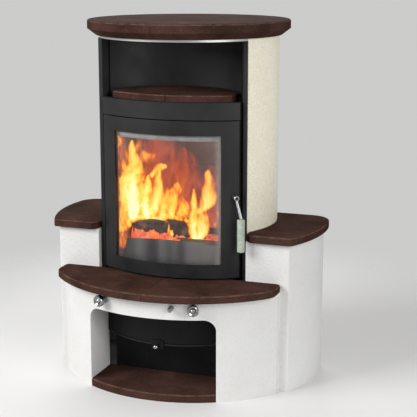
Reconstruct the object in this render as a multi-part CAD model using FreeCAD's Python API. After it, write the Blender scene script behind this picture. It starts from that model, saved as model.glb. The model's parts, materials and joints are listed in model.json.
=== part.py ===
import FreeCAD, Part
import math
import os

# Wood stove: round tiled column, bowed fire door, warming niche and wrap-round benches.
# Units are millimetres. The origin is on the floor at the column's axis, +Z is up, the front is -Y.

# Heights, stacked from the floor up
body_foot = 140.0              # underside of the round steel body
hearth_height = 332.0          # floor to the top of the front slabs
bench_rise = 143.0             # top of the bench slabs above the front slabs
slab_thickness = 24.0          # brown slabs of benches, hearth and base
door_lift = 5.5                # door above the front slabs
door_height = 467.5
band_bottom_gap = 3.0
band_height = 50.0
band_lap = 5.0                 # underside of the shelf below the top of the band
shelf_thickness = 24.0
niche_height = 156.0           # top of the shelf to the rim
rim_thickness = 7.0
top_plate_thickness = 45.0

# Top plate and rim
top_plate_radius = 307.0
top_plate_edge = 6.0           # rounding of the upper edge
top_plate_undercut = 25.0      # width of the slope under the edge
top_plate_undercut_height = 19.0

# Column
column_radius = 273.0          # outside of the tiles
front_angle = 58.8             # half angle of the open front
tile_thickness = 24.0
tile_tiers = 3
tile_tuck = 7.5                # foot of the tiles below the underside of the bench slabs
tile_back_angle = 143.0
tile_chamfer = 1.5
shell_thickness = 2.5
ledge_thickness = 3.0
base_plate_thickness = 4.0
shield_inset = 1.0
shield_sheet = 2.0
shield_gap_angle = 0.5         # degrees between the tiles and the rear shield
shield_flue_gap = 6.0
spacer_radius = 6.0
vent_length = 68.0
vent_height = 8.0
vent_pitch = 34.0
vent_offset = 46.0
vent_foot = 40.0
fit_gap = 0.3                  # space between curved pieces that nest
running_gap = 0.08             # radial space of a shaft in its bore
bond_gap = 0.1                 # space between curved faces that are clamped together

# Posts, door and front frame
post_face = 11.5
post_step = 7.0                # posts stand this far in front of the tile corner
door_side_gap = 6.5
door_proud = 12.0              # side edges of the door in front of the posts
door_bow = 64.5
door_thickness = 14.0
glass_border = 47.0            # width of the door frame beside the glass
glass_border_low = 41.0
glass_border_high = 42.5
glass_thickness = 4.0
glass_overlap = 14.0
door_lip = 4.0                 # frame in front of the glass
gasket_thickness = 1.5
seal_thickness = 4.7
seal_width = 6.0
seal_offset = 0.7              # seal beside the glass edge
seal_gap = 5.0                 # door back to front frame
frame_thickness = 4.0
hinge_inset = 10.0             # hinge axis from the door's side edge
hinge_pin_radius = 4.0
hinge_plate_thickness = 4.0
hinge_bite = 22.0
hinge_space = 0.6              # door ends to hinge plates
band_plate = 4.0
hinge_plate_in = 14.0          # hinge plate from the pin towards the middle of the door
hinge_plate_out = 9.0

# Handle
handle_rise = 243.5            # spindle above the foot of the door
handle_inset = 10.0            # spindle axis from the door's side edge
spindle_radius = 5.0
boss_radius = 11.0
boss_height = 9.0
hub_radius = 8.0
hub_height = 11.0
latch_thickness = 4.0
latch_reach = 19.0
latch_gap = 0.9
lever_radius = 4.5
lever_drop = 56.0
lever_side = 9.0
lever_out = 20.0
grip_radius = 11.3
grip_length = 97.0

# Firebox and niche
firebox_side_space = 95.0      # firebox wall to the outside of the column
firebox_rear_space = 123.0
firebox_plate = 4.0
firebox_drop = 1.0             # roof of the firebox below the top of the door
brick_thickness = 25.0
smoke_gap = 61.0               # underside of the baffle to the roof of the firebox
baffle_front_space = 178.0     # front of the baffle behind the front of the column
guard_end_gap = 23.0
guard_height = 106.0
guard_arch = 16.0
guard_round = 12.0
guard_thickness = 3.0
grate_centre_y = -20.0
grate_radius = 71.5
grate_thickness = 12.0
grate_ring_width = 24.0
spider_thickness = 8.0
grate_slot_width = 7.0
grate_slot_pitch = 14.0
grate_rim = 9.0                # plain rim of the riddle grate outside its slots
grate_hub_radius = 14.0
grate_hub_land = 4.0           # plain ring between the hub and the slots
grate_shaft_radius = 8.0
grate_space = 0.5              # ring to riddle grate, and ring to hearth bricks
crank_pin_radius = 4.0
crank_arm_width = 18.0
crank_arm_thickness = 5.0
crank_length = 45.0
riddle_travel = 24.0
niche_floor_thickness = 4.0
shelf_end_gap = 27.5           # end of the shelf from the end of the door
shelf_setback = 23.0
niche_back_gap = 20.0          # curved back of the niche to the smoke box
niche_back_flatness = 27.0     # its radius over that of the column
niche_side_gap = 28.4          # front edges of the niche's curved back behind the posts
shelf_side_depth = 62.0
shelf_rear_gap = 25.0

# Flue
flue_radius = 74.5             # outside of the spigot
flue_neck_radius = 72.0
flue_wall = 2.0
flue_rise = 118.0              # axis of the flue above the roof of the firebox
flue_reach = 73.0              # end of the spigot behind the column
flue_spigot = 62.0
smoke_box_side = 13.0
smoke_box_depth = 60.0

# Lower body
panel_thickness = 2.5
panel_inset = 1.0
drawer_side_space = 101.0      # end of the drawer front to the outside of the column
drawer_drop = 47.0             # top of the drawer front below the air rods
drawer_front_lap = 22.0        # drawer front past the side of its box
drawer_front_rise = 14.0       # drawer front above its box
drawer_rear_space = 203.0
drawer_sheet = 1.5
drawer_lift = 2.0              # drawer front above the bottom plate, and its box above that
runner_width = 20.0
runner_side = 22.0             # height of the runner's side above the drawer box's foot
runner_front_space = 73.0
plinth_side_space = 95.0       # plinth from the outside of the column
plinth_front_space = 93.0
plinth_rear_space = 103.0
plinth_sheet = 2.5
chute_side = 23.5              # chute wall past the grate
chute_sheet = 2.0
chute_lift = 10.0              # chute above the drawer front
tray_lift = 13.0

# White front surround
surround_centre_y = 51.3
surround_depth = 92.7          # front of the surround before the column
surround_wall = 45.0
surround_side = 70.0           # end of the surround past the side of the column
surround_end_round = 12.0
hearth_overhang = 32.0
hearth_side_overhang = 4.5
hearth_tip_round = 60.0
hearth_back_round = 15.0
opening_side = 27.0            # opening past the end of the drawer front
lintel_height = 56.5
opening_corner = 35.0
cheek_thickness = 40.0
slab_joint = 1.5
bench_face_step = 4.0          # white bench faces in front of the door's side edges

# White benches
bench_centre_y = 20.4
bench_depth = 141.0            # bench past the column
bench_overhang = 16.0
bench_rear_space = 143.0
bench_corner = 50.0
bench_wall = 40.0
bench_column_gap = 3.0

# Air controls
knob_drop = 21.0               # air rods below the front slabs
air_knob_angle = 19.4
riddle_knob_angle = 10.7
air_knob_radius = 17.0
air_knob_length = 31.0
riddle_knob_radius = 7.5
riddle_knob_length = 20.0
rod_radius = 5.0
bush_radius = 9.0
damper_travel = 35.0
damper_depth = 202.0           # inner end of the damper plate behind the face of the surround

# Derived sizes
bench_height = hearth_height + bench_rise
door_bottom = hearth_height + door_lift
door_top = door_bottom + door_height
band_bottom = door_top + band_bottom_gap
band_top = band_bottom + band_height
shelf_bottom = band_top - band_lap
shelf_top = shelf_bottom + shelf_thickness
rim_bottom = shelf_top + niche_height
plate_bottom = rim_bottom + rim_thickness
stove_height = plate_bottom + top_plate_thickness
beyond = stove_height          # a length that reaches past any piece
hearth_bottom = hearth_height - slab_thickness
bench_slab_bottom = bench_height - slab_thickness
tile_foot = bench_slab_bottom - tile_tuck
shell_outer = column_radius - tile_thickness - fit_gap
shell_inner = shell_outer - shell_thickness
body_floor = body_foot + base_plate_thickness
corner_x = column_radius * math.sin(math.radians(front_angle))
corner_y = -column_radius * math.cos(math.radians(front_angle))
post_in_x = corner_x - post_face
post_front_y = corner_y - post_step
door_half_width = post_in_x - door_side_gap
door_edge_y = post_front_y - door_proud
bow_radius = (door_half_width ** 2 + door_bow ** 2) / (2.0 * door_bow)
bow_centre_y = door_edge_y - door_bow + bow_radius
door_back = bow_radius - door_thickness
# the door's back edge is rounded at the hinge side to clear the post as it swings, within its thickness
door_back_round = min(0.023 * bow_radius, 0.7 * door_thickness)
frame_outer = door_back - seal_gap
frame_inner = frame_outer - frame_thickness
glass_half_width = door_half_width - glass_border
glass_bottom = door_bottom + glass_border_low
glass_top = door_top - glass_border_high
shelf_half_width = door_half_width - shelf_end_gap
handle_height = door_bottom + handle_rise
firebox_bottom = hearth_height + 1.0
firebox_floor = firebox_bottom + firebox_plate
brick_top = firebox_floor + brick_thickness
firebox_top = door_top - firebox_drop
baffle_height = firebox_top - smoke_gap
firebox_half_width = column_radius - firebox_side_space
firebox_back = column_radius - firebox_rear_space
guard_half_width = firebox_half_width - guard_end_gap
flue_height = firebox_top + flue_rise
flue_end_y = column_radius + flue_reach
smoke_box_half_width = flue_neck_radius + smoke_box_side
hinge_x = -(door_half_width - hinge_inset)
hinge_radius = bow_radius - door_thickness / 2.0
hinge_y = bow_centre_y - math.sqrt(hinge_radius ** 2 - hinge_x ** 2)
handle_angle = math.degrees(math.asin((door_half_width - handle_inset) / bow_radius))
bench_face_y = door_edge_y - bench_face_step
surround_radius = column_radius + surround_depth + surround_centre_y
surround_half_width = column_radius + surround_side
knob_height = hearth_bottom - knob_drop
opening_height = hearth_bottom - lintel_height
bench_radius = column_radius + bench_depth
bench_back_y = column_radius - bench_rear_space
plinth_half_width = column_radius - plinth_side_space
plinth_front_y = plinth_front_space - column_radius
plinth_back_y = column_radius - plinth_rear_space
damper_inner = surround_radius - damper_depth
panel_outer = column_radius - panel_inset
panel_inner = panel_outer - panel_thickness
drawer_foot = body_floor + drawer_lift
drawer_top = knob_height - drawer_drop
drawer_half_width = column_radius - drawer_side_space
drawer_box_half_width = drawer_half_width - drawer_front_lap
drawer_box_height = drawer_top - drawer_foot - drawer_front_rise
drawer_back_y = column_radius - drawer_rear_space
opening_half_width = drawer_half_width + opening_side
chute_half_width = grate_radius + chute_side
chute_foot = drawer_top + chute_lift
tray_height = chute_foot + tray_lift
tray_thickness = 3.0
crank_start = math.degrees(riddle_travel / crank_length / 2.0)
smoke_box_front = firebox_back - smoke_box_depth
niche_back_y = smoke_box_front - niche_back_gap
niche_back_radius = column_radius + niche_back_flatness
smoke_box_bottom = firebox_top + firebox_plate
smoke_box_top = flue_height + flue_neck_radius + 12.0


def point(x, y, z=0.0):
    return FreeCAD.Vector(x, y, z)


def polar(radius, degrees, centre_y=0.0):
    # plan point at an angle from the front, positive towards +X
    turn = math.radians(degrees)
    return (radius * math.sin(turn), centre_y - radius * math.cos(turn))


def on_bow(radius, x):
    return (x, bow_centre_y - math.sqrt(radius ** 2 - x ** 2))


class Outline:
    # closed plan outline of lines and arcs
    def __init__(self, start):
        self.first = start
        self.last = start
        self.edges = []

    def line(self, end):
        self.edges.append(Part.makeLine(point(*self.last), point(*end)))
        self.last = end
        return self

    def arc(self, middle, end):
        self.edges.append(Part.Arc(point(*self.last), point(*middle), point(*end)).toShape())
        self.last = end
        return self

    def prism(self, low, high):
        if math.dist(self.last, self.first) > 1e-6:
            self.line(self.first)
        face = Part.Face(Part.Wire(self.edges))
        face.translate(point(0, 0, low))
        return face.extrude(point(0, 0, high - low))


def box(x0, x1, y0, y1, z0, z1):
    return Part.makeBox(x1 - x0, y1 - y0, z1 - z0, point(x0, y0, z0))


def pillar(radius, x, y, z0, z1):
    return Part.makeCylinder(radius, z1 - z0, point(x, y, z0))


def ring_sector(r_in, r_out, start, end, z0, z1, centre_y=0.0):
    middle = (start + end) / 2.0
    shape = Outline(polar(r_in, start, centre_y))
    shape.line(polar(r_out, start, centre_y))
    shape.arc(polar(r_out, middle, centre_y), polar(r_out, end, centre_y))
    shape.line(polar(r_in, end, centre_y))
    shape.arc(polar(r_in, middle, centre_y), polar(r_in, start, centre_y))
    return shape.prism(z0, z1)


def bowed(r_in, r_out, x0, x1, z0, z1):
    # plate that follows the door's bow, with ends parallel to Y
    middle = (x0 + x1) / 2.0
    shape = Outline(on_bow(r_in, x0))
    shape.line(on_bow(r_out, x0))
    shape.arc(on_bow(r_out, middle), on_bow(r_out, x1))
    shape.line(on_bow(r_in, x1))
    shape.arc(on_bow(r_in, middle), on_bow(r_in, x0))
    return shape.prism(z0, z1)


def forward_rod(radius, reach_in, reach_out, z, centre_y):
    # cylinder along -Y between two distances from a vertical centre line
    start = point(0, centre_y - reach_in, z)
    return Part.makeCylinder(radius, reach_out - reach_in, start, point(0, -1, 0))


def swing(shape, degrees, centre_y):
    # turn a piece built at the front round a vertical centre line
    turned = shape.copy()
    turned.rotate(point(0, centre_y, 0), point(0, 0, 1), degrees)
    return turned


def mirrored(shape):
    return shape.mirror(point(0, 0, 0), point(1, 0, 0))


def turned_profile(points, z, centre_y):
    # solid of revolution about a forward axis; points are (radius, reach)
    corners = [point(radius, centre_y - reach, z) for radius, reach in points]
    face = Part.Face(Part.makePolygon(corners + corners[:1]))
    return face.revolve(point(0, centre_y, z), point(0, 1, 0), 360)


def edges_at_height(shape, z):
    found = []
    for edge in shape.Edges:
        if all(abs(vertex.Z - z) < 1e-4 for vertex in edge.Vertexes):
            found.append(edge)
    return found


def upright_edges(shape, spots):
    found = []
    for edge in shape.Edges:
        ends = edge.Vertexes
        if len(ends) != 2 or abs(ends[0].Z - ends[1].Z) < 1.0:
            continue
        for x, y in spots:
            apart = [math.hypot(end.X - x, end.Y - y) for end in ends]
            if max(apart) < 0.05:
                found.append(edge)
    return found


def rounded_slab(shape, low, high, upper, lower):
    soft = shape.makeFillet(upper, edges_at_height(shape, high))
    return soft.makeFillet(lower, edges_at_height(soft, low))


# Column and top

def column_plan(r_front, r_back, z0, z1):
    # round plan with a larger radius across the open front
    shape = Outline(polar(r_front, -front_angle))
    shape.arc(polar(r_front, 0.0), polar(r_front, front_angle))
    shape.line(polar(r_back, front_angle))
    shape.arc(polar(r_back, 180.0), polar(r_back, -front_angle))
    return shape.prism(z0, z1)


def right_half(slab):
    # what is right of the seam between a slab's two halves
    far = stove_height
    return slab.common(box(slab_joint / 2.0, far, -far, far, 0.0, 2.0 * far))


def make_top_plate():
    slope = top_plate_radius - top_plate_undercut
    low_edge = plate_bottom + top_plate_undercut_height
    high_edge = stove_height - top_plate_edge
    inner_edge = top_plate_radius - top_plate_edge
    bend = top_plate_edge * math.sqrt(0.5)
    edges = [
        Part.makeLine(point(0, 0, plate_bottom), point(slope, 0, plate_bottom)),
        Part.makeLine(point(slope, 0, plate_bottom), point(top_plate_radius, 0, low_edge)),
        Part.makeLine(point(top_plate_radius, 0, low_edge), point(top_plate_radius, 0, high_edge)),
        Part.Arc(
            point(top_plate_radius, 0, high_edge),
            point(inner_edge + bend, 0, high_edge + bend),
            point(inner_edge, 0, stove_height),
        ).toShape(),
        Part.makeLine(point(inner_edge, 0, stove_height), point(0, 0, stove_height)),
        Part.makeLine(point(0, 0, stove_height), point(0, 0, plate_bottom)),
    ]
    disc = Part.Face(Part.Wire(edges)).revolve(point(0, 0, 0), point(0, 0, 1), 360)
    return right_half(disc)


def make_tile(tier):
    height = (plate_bottom - tile_foot) / tile_tiers
    low = tile_foot + tier * height
    inner = column_radius - tile_thickness
    tile = ring_sector(inner, column_radius, front_angle, tile_back_angle, low, low + height)
    rim = []
    for edge in tile.Edges:
        if all(math.hypot(v.X, v.Y) > column_radius - 0.01 for v in edge.Vertexes):
            rim.append(edge)
    return tile.makeChamfer(tile_chamfer, rim)


def make_carcass_shell():
    shell = ring_sector(shell_inner, shell_outer, front_angle, 360.0 - front_angle, body_floor, rim_bottom)
    ledge_low = tile_foot - ledge_thickness
    ledge_out = column_radius - 3.0
    ledge = ring_sector(shell_inner, ledge_out, front_angle, tile_back_angle, ledge_low, tile_foot)
    shell = shell.fuse([ledge, mirrored(ledge)]).removeSplitter()
    hole = Part.makeCylinder(flue_neck_radius + 4.0, beyond, point(0, 0, flue_height), point(0, 1, 0))
    return shell.cut(hole)


def make_post():
    shape = Outline((post_in_x, post_front_y))
    shape.line((corner_x, post_front_y))
    shape.line((corner_x, corner_y))
    shape.line(polar(shell_inner, front_angle))
    return shape.prism(body_floor, rim_bottom)


def make_rear_shield():
    start = tile_back_angle + shield_gap_angle
    outer = column_radius - shield_inset
    inner = outer - shield_sheet
    sheet = ring_sector(inner, outer, start, 360.0 - start, tile_foot, rim_bottom)
    spacers = []
    for angle in (150.0, 210.0):
        for level in (0.15, 0.5, 0.92):
            z = tile_foot + level * (rim_bottom - tile_foot)
            x, y = polar(shell_outer, angle)
            way = point(x, y, 0).normalize()
            length = inner + shield_sheet / 2.0 - shell_outer
            spacers.append(Part.makeCylinder(spacer_radius, length, point(x, y, z), way))
    sheet = sheet.fuse(spacers).removeSplitter()
    flue_hole = flue_radius + shield_flue_gap
    cuts = [Part.makeCylinder(flue_hole, beyond, point(0, 0, flue_height), point(0, 1, 0))]
    half = vent_length / 2.0
    for row in range(8):
        z = tile_foot + vent_foot + row * vent_pitch
        for offset in (-vent_offset, vent_offset):
            cuts.append(box(offset - half, offset + half, 0.0, beyond, z, z + vent_height))
    return sheet.cut(cuts)


# Fire door

def make_front_frame(posts):
    half = 0.25 * post_in_x + 0.75 * polar(shell_inner, front_angle)[0]
    plate = bowed(frame_inner, frame_outer, -half, half, firebox_bottom, shelf_bottom)
    clear = glass_half_width + 8.0
    window = box(-clear, clear, -beyond, 0.0, glass_bottom - 8.0, glass_top + 8.0)
    half = spindle_radius + 3.0
    slot_y = bow_centre_y - frame_outer
    slot_low = handle_height - latch_reach - 4.0
    slot = box(-half, half, slot_y - 10.0, slot_y + 20.0, slot_low, handle_height + half)
    return plate.cut(posts + [window, swing(slot, handle_angle, bow_centre_y)])


def make_door_frame():
    frame = bowed(door_back, bow_radius, -door_half_width, door_half_width, door_bottom, door_top)
    back_edge = on_bow(door_back, -door_half_width)
    frame = frame.makeFillet(door_back_round, upright_edges(frame, [back_edge]))
    front_edges = [on_bow(bow_radius, -door_half_width), on_bow(bow_radius, door_half_width)]
    frame = frame.makeFillet(3.0, upright_edges(frame, front_edges))
    window = box(-glass_half_width, glass_half_width, -beyond, 0.0, glass_bottom, glass_top)
    rebate_x = glass_half_width + glass_overlap + 0.5
    rebate = bowed(
        door_back - 10.0,
        bow_radius - door_lip,
        -rebate_x,
        rebate_x,
        glass_bottom - glass_overlap - 0.5,
        glass_top + glass_overlap + 0.5,
    )
    bore = hinge_pin_radius + running_gap
    low_bore = pillar(bore, hinge_x, hinge_y, door_bottom - 1.0, door_bottom + hinge_bite + 2.0)
    high_bore = pillar(bore, hinge_x, hinge_y, door_top - hinge_bite - 2.0, door_top + 1.0)
    spindle_bore = spindle_radius + running_gap
    spindle = forward_rod(spindle_bore, 0.0, bow_radius + 20.0, handle_height, bow_centre_y)
    return frame.cut([window, rebate, low_bore, high_bore, swing(spindle, handle_angle, bow_centre_y)])


def glass_zone(r_in, r_out, trim):
    reach = glass_half_width + glass_overlap - trim
    low = glass_bottom - glass_overlap + trim
    high = glass_top + glass_overlap - trim
    return bowed(r_in, r_out, -reach, reach, low, high)


def make_door_glass():
    front = bow_radius - door_lip - gasket_thickness - bond_gap
    return glass_zone(front - glass_thickness, front, 0.0)


def make_glass_gasket():
    front = bow_radius - door_lip - bond_gap
    ring = glass_zone(front - gasket_thickness + bond_gap, front, 0.0)
    return ring.cut(glass_zone(front - 10.0, front + 10.0, glass_overlap - 2.0))


def make_glass_retainers():
    back = bow_radius - door_lip - gasket_thickness - glass_thickness - 3.0 * bond_gap
    deep = door_back + 0.5
    reach = glass_half_width + glass_overlap
    low = glass_bottom - glass_overlap
    high = glass_top + glass_overlap
    strip = 10.0
    pieces = [
        bowed(deep, back, -reach, reach, low, low + strip),
        bowed(deep, back, -reach, reach, high - strip, high),
        bowed(deep, back, -reach, -reach + strip, low + strip, high - strip),
        bowed(deep, back, reach - strip, reach, low + strip, high - strip),
    ]
    return Part.makeCompound(pieces)


def make_door_seal():
    reach = glass_half_width + glass_overlap + seal_offset
    low = glass_bottom - glass_overlap - seal_offset
    high = glass_top + glass_overlap + seal_offset
    outer = bowed(
        door_back - seal_thickness,
        door_back,
        -reach - seal_width,
        reach + seal_width,
        low - seal_width,
        high + seal_width,
    )
    return outer.cut(box(-reach, reach, -beyond, 0.0, low, high))


def hinge_plate(low, posts, pin):
    front = bow_radius - band_plate - 0.4
    high = low + hinge_plate_thickness
    plate = bowed(frame_outer, front, hinge_x - hinge_plate_out, hinge_x + hinge_plate_in, low, high)
    return plate.cut(posts).fuse(pin).removeSplitter()


def make_hinge_plates(posts):
    # each plate with its pin welded in
    low = door_bottom - hinge_space - hinge_plate_thickness
    high = door_top + hinge_space
    top = high + hinge_plate_thickness
    low_pin = pillar(hinge_pin_radius, hinge_x, hinge_y, low, door_bottom + hinge_bite)
    high_pin = pillar(hinge_pin_radius, hinge_x, hinge_y, door_top - hinge_bite, top)
    return Part.makeCompound([hinge_plate(low, posts, low_pin), hinge_plate(high, posts, high_pin)])


def make_header_band(posts):
    half = door_half_width + 1.0
    deep = frame_outer + 0.2
    band = bowed(bow_radius - band_plate, bow_radius, -half, half, band_bottom, band_top)
    lid = bowed(deep, bow_radius, -half, half, band_top - 3.0, band_top)
    left_end = bowed(deep, bow_radius, -half, -half + 3.0, band_bottom, band_top)
    band = band.fuse([lid, left_end, mirrored(left_end)]).removeSplitter()
    plate_top = door_top + hinge_space + hinge_plate_thickness
    notch_out = bow_radius - band_plate / 2.0
    notch_end = hinge_x + hinge_plate_in + 1.0
    notch = bowed(deep - 5.0, notch_out, -half - 1.0, notch_end, band_bottom - 1.0, plate_top + hinge_space)
    return band.cut(posts + [notch])


# Door handle, built at the front and swung to its place on the door

def make_handle_boss():
    z = handle_height
    base = bow_radius - 0.5
    profile = [
        (spindle_radius + running_gap, base - 1.0),
        (boss_radius, base - 1.0),
        (boss_radius, bow_radius + boss_height - 2.0),
        (boss_radius - 2.0, bow_radius + boss_height),
        (spindle_radius + running_gap, bow_radius + boss_height),
    ]
    boss = turned_profile(profile, z, bow_centre_y)
    boss = boss.cut(Part.makeCylinder(bow_radius + bond_gap, 200.0, point(0, bow_centre_y, z - 100.0)))
    return swing(boss, handle_angle, bow_centre_y)


hub_foot = bow_radius + boss_height + 0.5


def make_handle_spindle():
    # spindle with the latch beak that turns behind the front frame
    z = handle_height
    tip = frame_inner - latch_gap - latch_thickness
    rod = forward_rod(spindle_radius, tip, hub_foot + hub_height, z, bow_centre_y)
    root = forward_rod(spindle_radius + 2.0, tip, tip + latch_thickness, z, bow_centre_y)
    beak_y = bow_centre_y - tip
    beak = box(0.0, latch_reach, beak_y - latch_thickness, beak_y, z - 4.5, z + 4.5)
    shape = rod.fuse([root, beak]).removeSplitter()
    return swing(shape, handle_angle, bow_centre_y)


def make_handle_lever():
    z = handle_height
    bore = spindle_radius
    reach = hub_foot + hub_height
    hub = turned_profile(
        [
            (bore, hub_foot),
            (hub_radius, hub_foot),
            (hub_radius, reach - 1.5),
            (hub_radius - 1.5, reach),
            (bore, reach),
        ],
        z,
        bow_centre_y,
    )
    y = bow_centre_y - hub_foot - hub_height / 2.0
    start = point(0, y, z - hub_radius + 2.0)
    knee = point(lever_side, y - lever_out, z - lever_drop)
    foot = point(lever_side, y - lever_out, z - lever_drop - grip_length + 15.0)
    slope = Part.makeCylinder(lever_radius, (knee - start).Length, start, knee - start)
    drop = Part.makeCylinder(lever_radius, (foot - knee).Length, knee, foot - knee)
    ball = Part.makeSphere(lever_radius, knee)
    shape = hub.fuse([slope, ball, drop]).removeSplitter()
    shape = shape.cut(forward_rod(bore, 0.0, reach + 5.0, z, bow_centre_y))
    return swing(shape, handle_angle, bow_centre_y)


def make_handle_grip():
    y = bow_centre_y - hub_foot - hub_height / 2.0 - lever_out
    top = handle_height - lever_drop - 3.0
    low = top - grip_length
    grip = pillar(grip_radius, lever_side, y, low, top)
    grip = grip.makeFillet(2.5, edges_at_height(grip, top) + edges_at_height(grip, low))
    bore_foot = handle_height - lever_drop - grip_length + 15.0
    grip = grip.cut(pillar(lever_radius, lever_side, y, bore_foot, top + 5.0))
    return swing(grip, handle_angle, bow_centre_y)


# Firebox and niche

def firebox_plan(half, back, radius, z0, z1):
    shape = Outline(on_bow(radius, -half))
    shape.line((-half, back)).line((half, back)).line(on_bow(radius, half))
    shape.arc(on_bow(radius, 0.0), on_bow(radius, -half))
    return shape.prism(z0, z1)


def make_firebox():
    half = firebox_half_width
    outer = firebox_plan(half, firebox_back, frame_inner, firebox_bottom, smoke_box_bottom)
    wall = firebox_plate
    inside = box(-half + wall, half - wall, -beyond, firebox_back - wall, firebox_floor, firebox_top)
    hole_y = grate_centre_y
    ash_hole = pillar(grate_radius + 8.0, 0.0, hole_y, firebox_bottom - 5.0, firebox_floor + 5.0)
    inner = smoke_box_half_width - 5.0
    front = smoke_box_front + 5.0
    back = firebox_back - 5.0
    flue_hole = box(-inner, inner, front, back, firebox_top - 1.0, smoke_box_bottom + 5.0)
    return outer.cut([inside, ash_hole, flue_hole])


def make_side_brick():
    half = firebox_half_width - firebox_plate
    inner = half - brick_thickness
    front = on_bow(frame_inner, half)[1] + 6.0
    back = firebox_back - firebox_plate
    low = brick_top
    brick = box(inner, half, front, back, low, baffle_height)
    grooves = []
    middle = (front + back) / 2.0
    for level in (1, 2):
        z = low + level * (baffle_height - low) / 3.0
        grooves.append(box(inner - 1.0, inner + 2.5, front - 1.0, back + 1.0, z - 1.0, z + 1.0))
    grooves.append(box(inner - 1.0, inner + 2.5, middle - 1.0, middle + 1.0, low - 1.0, baffle_height + 1.0))
    return brick.cut(grooves)


def make_rear_brick():
    half = firebox_half_width - firebox_plate - brick_thickness
    back = firebox_back - firebox_plate
    front = back - brick_thickness
    brick = box(-half, half, front, back, brick_top, baffle_height)
    cuts = []
    for level in (1, 2):
        z = brick_top + level * (baffle_height - brick_top) / 3.0
        cuts.append(box(-half - 1.0, half + 1.0, front - 1.0, front + 2.5, z - 1.0, z + 1.0))
    cuts.append(box(-1.0, 1.0, front - 1.0, front + 2.5, brick_top - 1.0, baffle_height + 1.0))
    z = brick_top + 0.5 * (baffle_height - brick_top)
    for step in range(-2, 3):
        x = (step + 0.5 * (step == 0)) * half / 3.0
        cuts.append(Part.makeCylinder(4.0, 60.0, point(x, front - 10.0, z), point(0, 1, 0)))
    return brick.cut(cuts)


def make_hearth_bricks():
    half = firebox_half_width - firebox_plate
    front = on_bow(frame_inner, half)[1] + 6.0
    bed = box(-half, half, front, firebox_back - firebox_plate, firebox_floor, brick_top)
    hole_radius = grate_radius + grate_ring_width + grate_space
    hole = pillar(hole_radius, 0.0, grate_centre_y, firebox_floor - 1.0, brick_top + 1.0)
    return bed.cut(hole)


def make_baffle():
    half = firebox_half_width - firebox_plate - 0.5
    front = baffle_front_space - column_radius
    back = firebox_back - firebox_plate
    return box(-half, half, front, back, baffle_height, baffle_height + brick_thickness)


def make_grate_ring():
    outer = grate_radius + grate_ring_width
    ring = pillar(outer, 0.0, grate_centre_y, firebox_floor, brick_top)
    seat = grate_radius + grate_space
    ring = ring.cut(pillar(seat, 0.0, grate_centre_y, firebox_floor - 1.0, brick_top + 1.0))
    bar = box(
        -grate_radius - 4.0,
        grate_radius + 4.0,
        grate_centre_y - 14.0,
        grate_centre_y + 14.0,
        firebox_floor,
        firebox_floor + spider_thickness,
    )
    ring = ring.fuse(bar).removeSplitter()
    bore = grate_shaft_radius + running_gap
    return ring.cut(pillar(bore, 0.0, grate_centre_y, firebox_floor - 5.0, brick_top))


def make_riddle_grate():
    # slotted disc on a shaft, with the crank and pin that the riddling rod pulls
    y = grate_centre_y
    low = brick_top - grate_thickness
    disc = pillar(grate_radius, 0.0, y, low, brick_top)
    half = grate_slot_width / 2.0
    slot_end = grate_radius - grate_rim
    slots = []
    count = int(slot_end / grate_slot_pitch)
    for step in range(-count, count + 1):
        x = step * grate_slot_pitch
        reach = math.sqrt(slot_end ** 2 - x ** 2)
        if step == 0:
            inner = grate_hub_radius + grate_hub_land
            slots.append(box(-half, half, y + inner, y + reach, low - 1.0, brick_top + 1.0))
            slots.append(box(-half, half, y - reach, y - inner, low - 1.0, brick_top + 1.0))
        else:
            slots.append(box(x - half, x + half, y - reach, y + reach, low - 1.0, brick_top + 1.0))
    disc = disc.cut(slots)
    hub = pillar(grate_hub_radius, 0.0, y, firebox_floor + spider_thickness + fit_gap, low + 2.0)
    arm_low = knob_height + 7.0
    shaft = pillar(grate_shaft_radius, 0.0, y, arm_low, low + 2.0)
    side = crank_arm_width / 2.0
    arm = box(-side, crank_length + side, y - side, y + side, arm_low, arm_low + crank_arm_thickness)
    pin = pillar(crank_pin_radius, crank_length, y, knob_height - 6.0, arm_low + 1.0)
    crank = arm.fuse([pin]).removeSplitter()
    crank.rotate(point(0, y, 0), point(0, 0, 1), riddle_knob_angle + crank_start)
    return disc.fuse([hub, shaft, crank]).removeSplitter()


def make_log_guard():
    outer = frame_inner - 6.0
    half = guard_half_width
    ends = firebox_floor + guard_height - guard_arch
    middle = firebox_floor + guard_height
    plate = bowed(outer - guard_thickness, outer, -half, half, firebox_floor, middle + guard_arch)
    corners = [point(-half, -beyond, ends), point(-half, -beyond, firebox_floor)]
    corners += [point(half, -beyond, firebox_floor), point(half, -beyond, ends)]
    arch = [Part.makeLine(corners[step], corners[step + 1]) for step in range(3)]
    arch.append(Part.Arc(corners[3], point(0.0, -beyond, middle), corners[0]).toShape())
    cutter = Part.Face(Part.Wire(arch)).extrude(point(0, beyond, 0))
    shoulders = []
    for edge in cutter.Edges:
        middle_point = edge.CenterOfMass
        if abs(abs(middle_point.x) - half) < 1e-4 and abs(middle_point.z - ends) < 1e-4:
            shoulders.append(edge)
    cutter = cutter.makeFillet(guard_round, shoulders)
    return plate.common(cutter)


def make_smoke_box():
    half = smoke_box_half_width
    wall = 3.0
    outer = box(-half, half, smoke_box_front, firebox_back, smoke_box_bottom, smoke_box_top)
    inner = box(
        -half + wall,
        half - wall,
        smoke_box_front + wall,
        firebox_back - wall,
        smoke_box_bottom - 1.0,
        smoke_box_top - wall,
    )
    way_in = point(0, firebox_back - 20.0, flue_height)
    hole = Part.makeCylinder(flue_neck_radius - flue_wall, beyond, way_in, point(0, 1, 0))
    return outer.cut([inner, hole])


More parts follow.
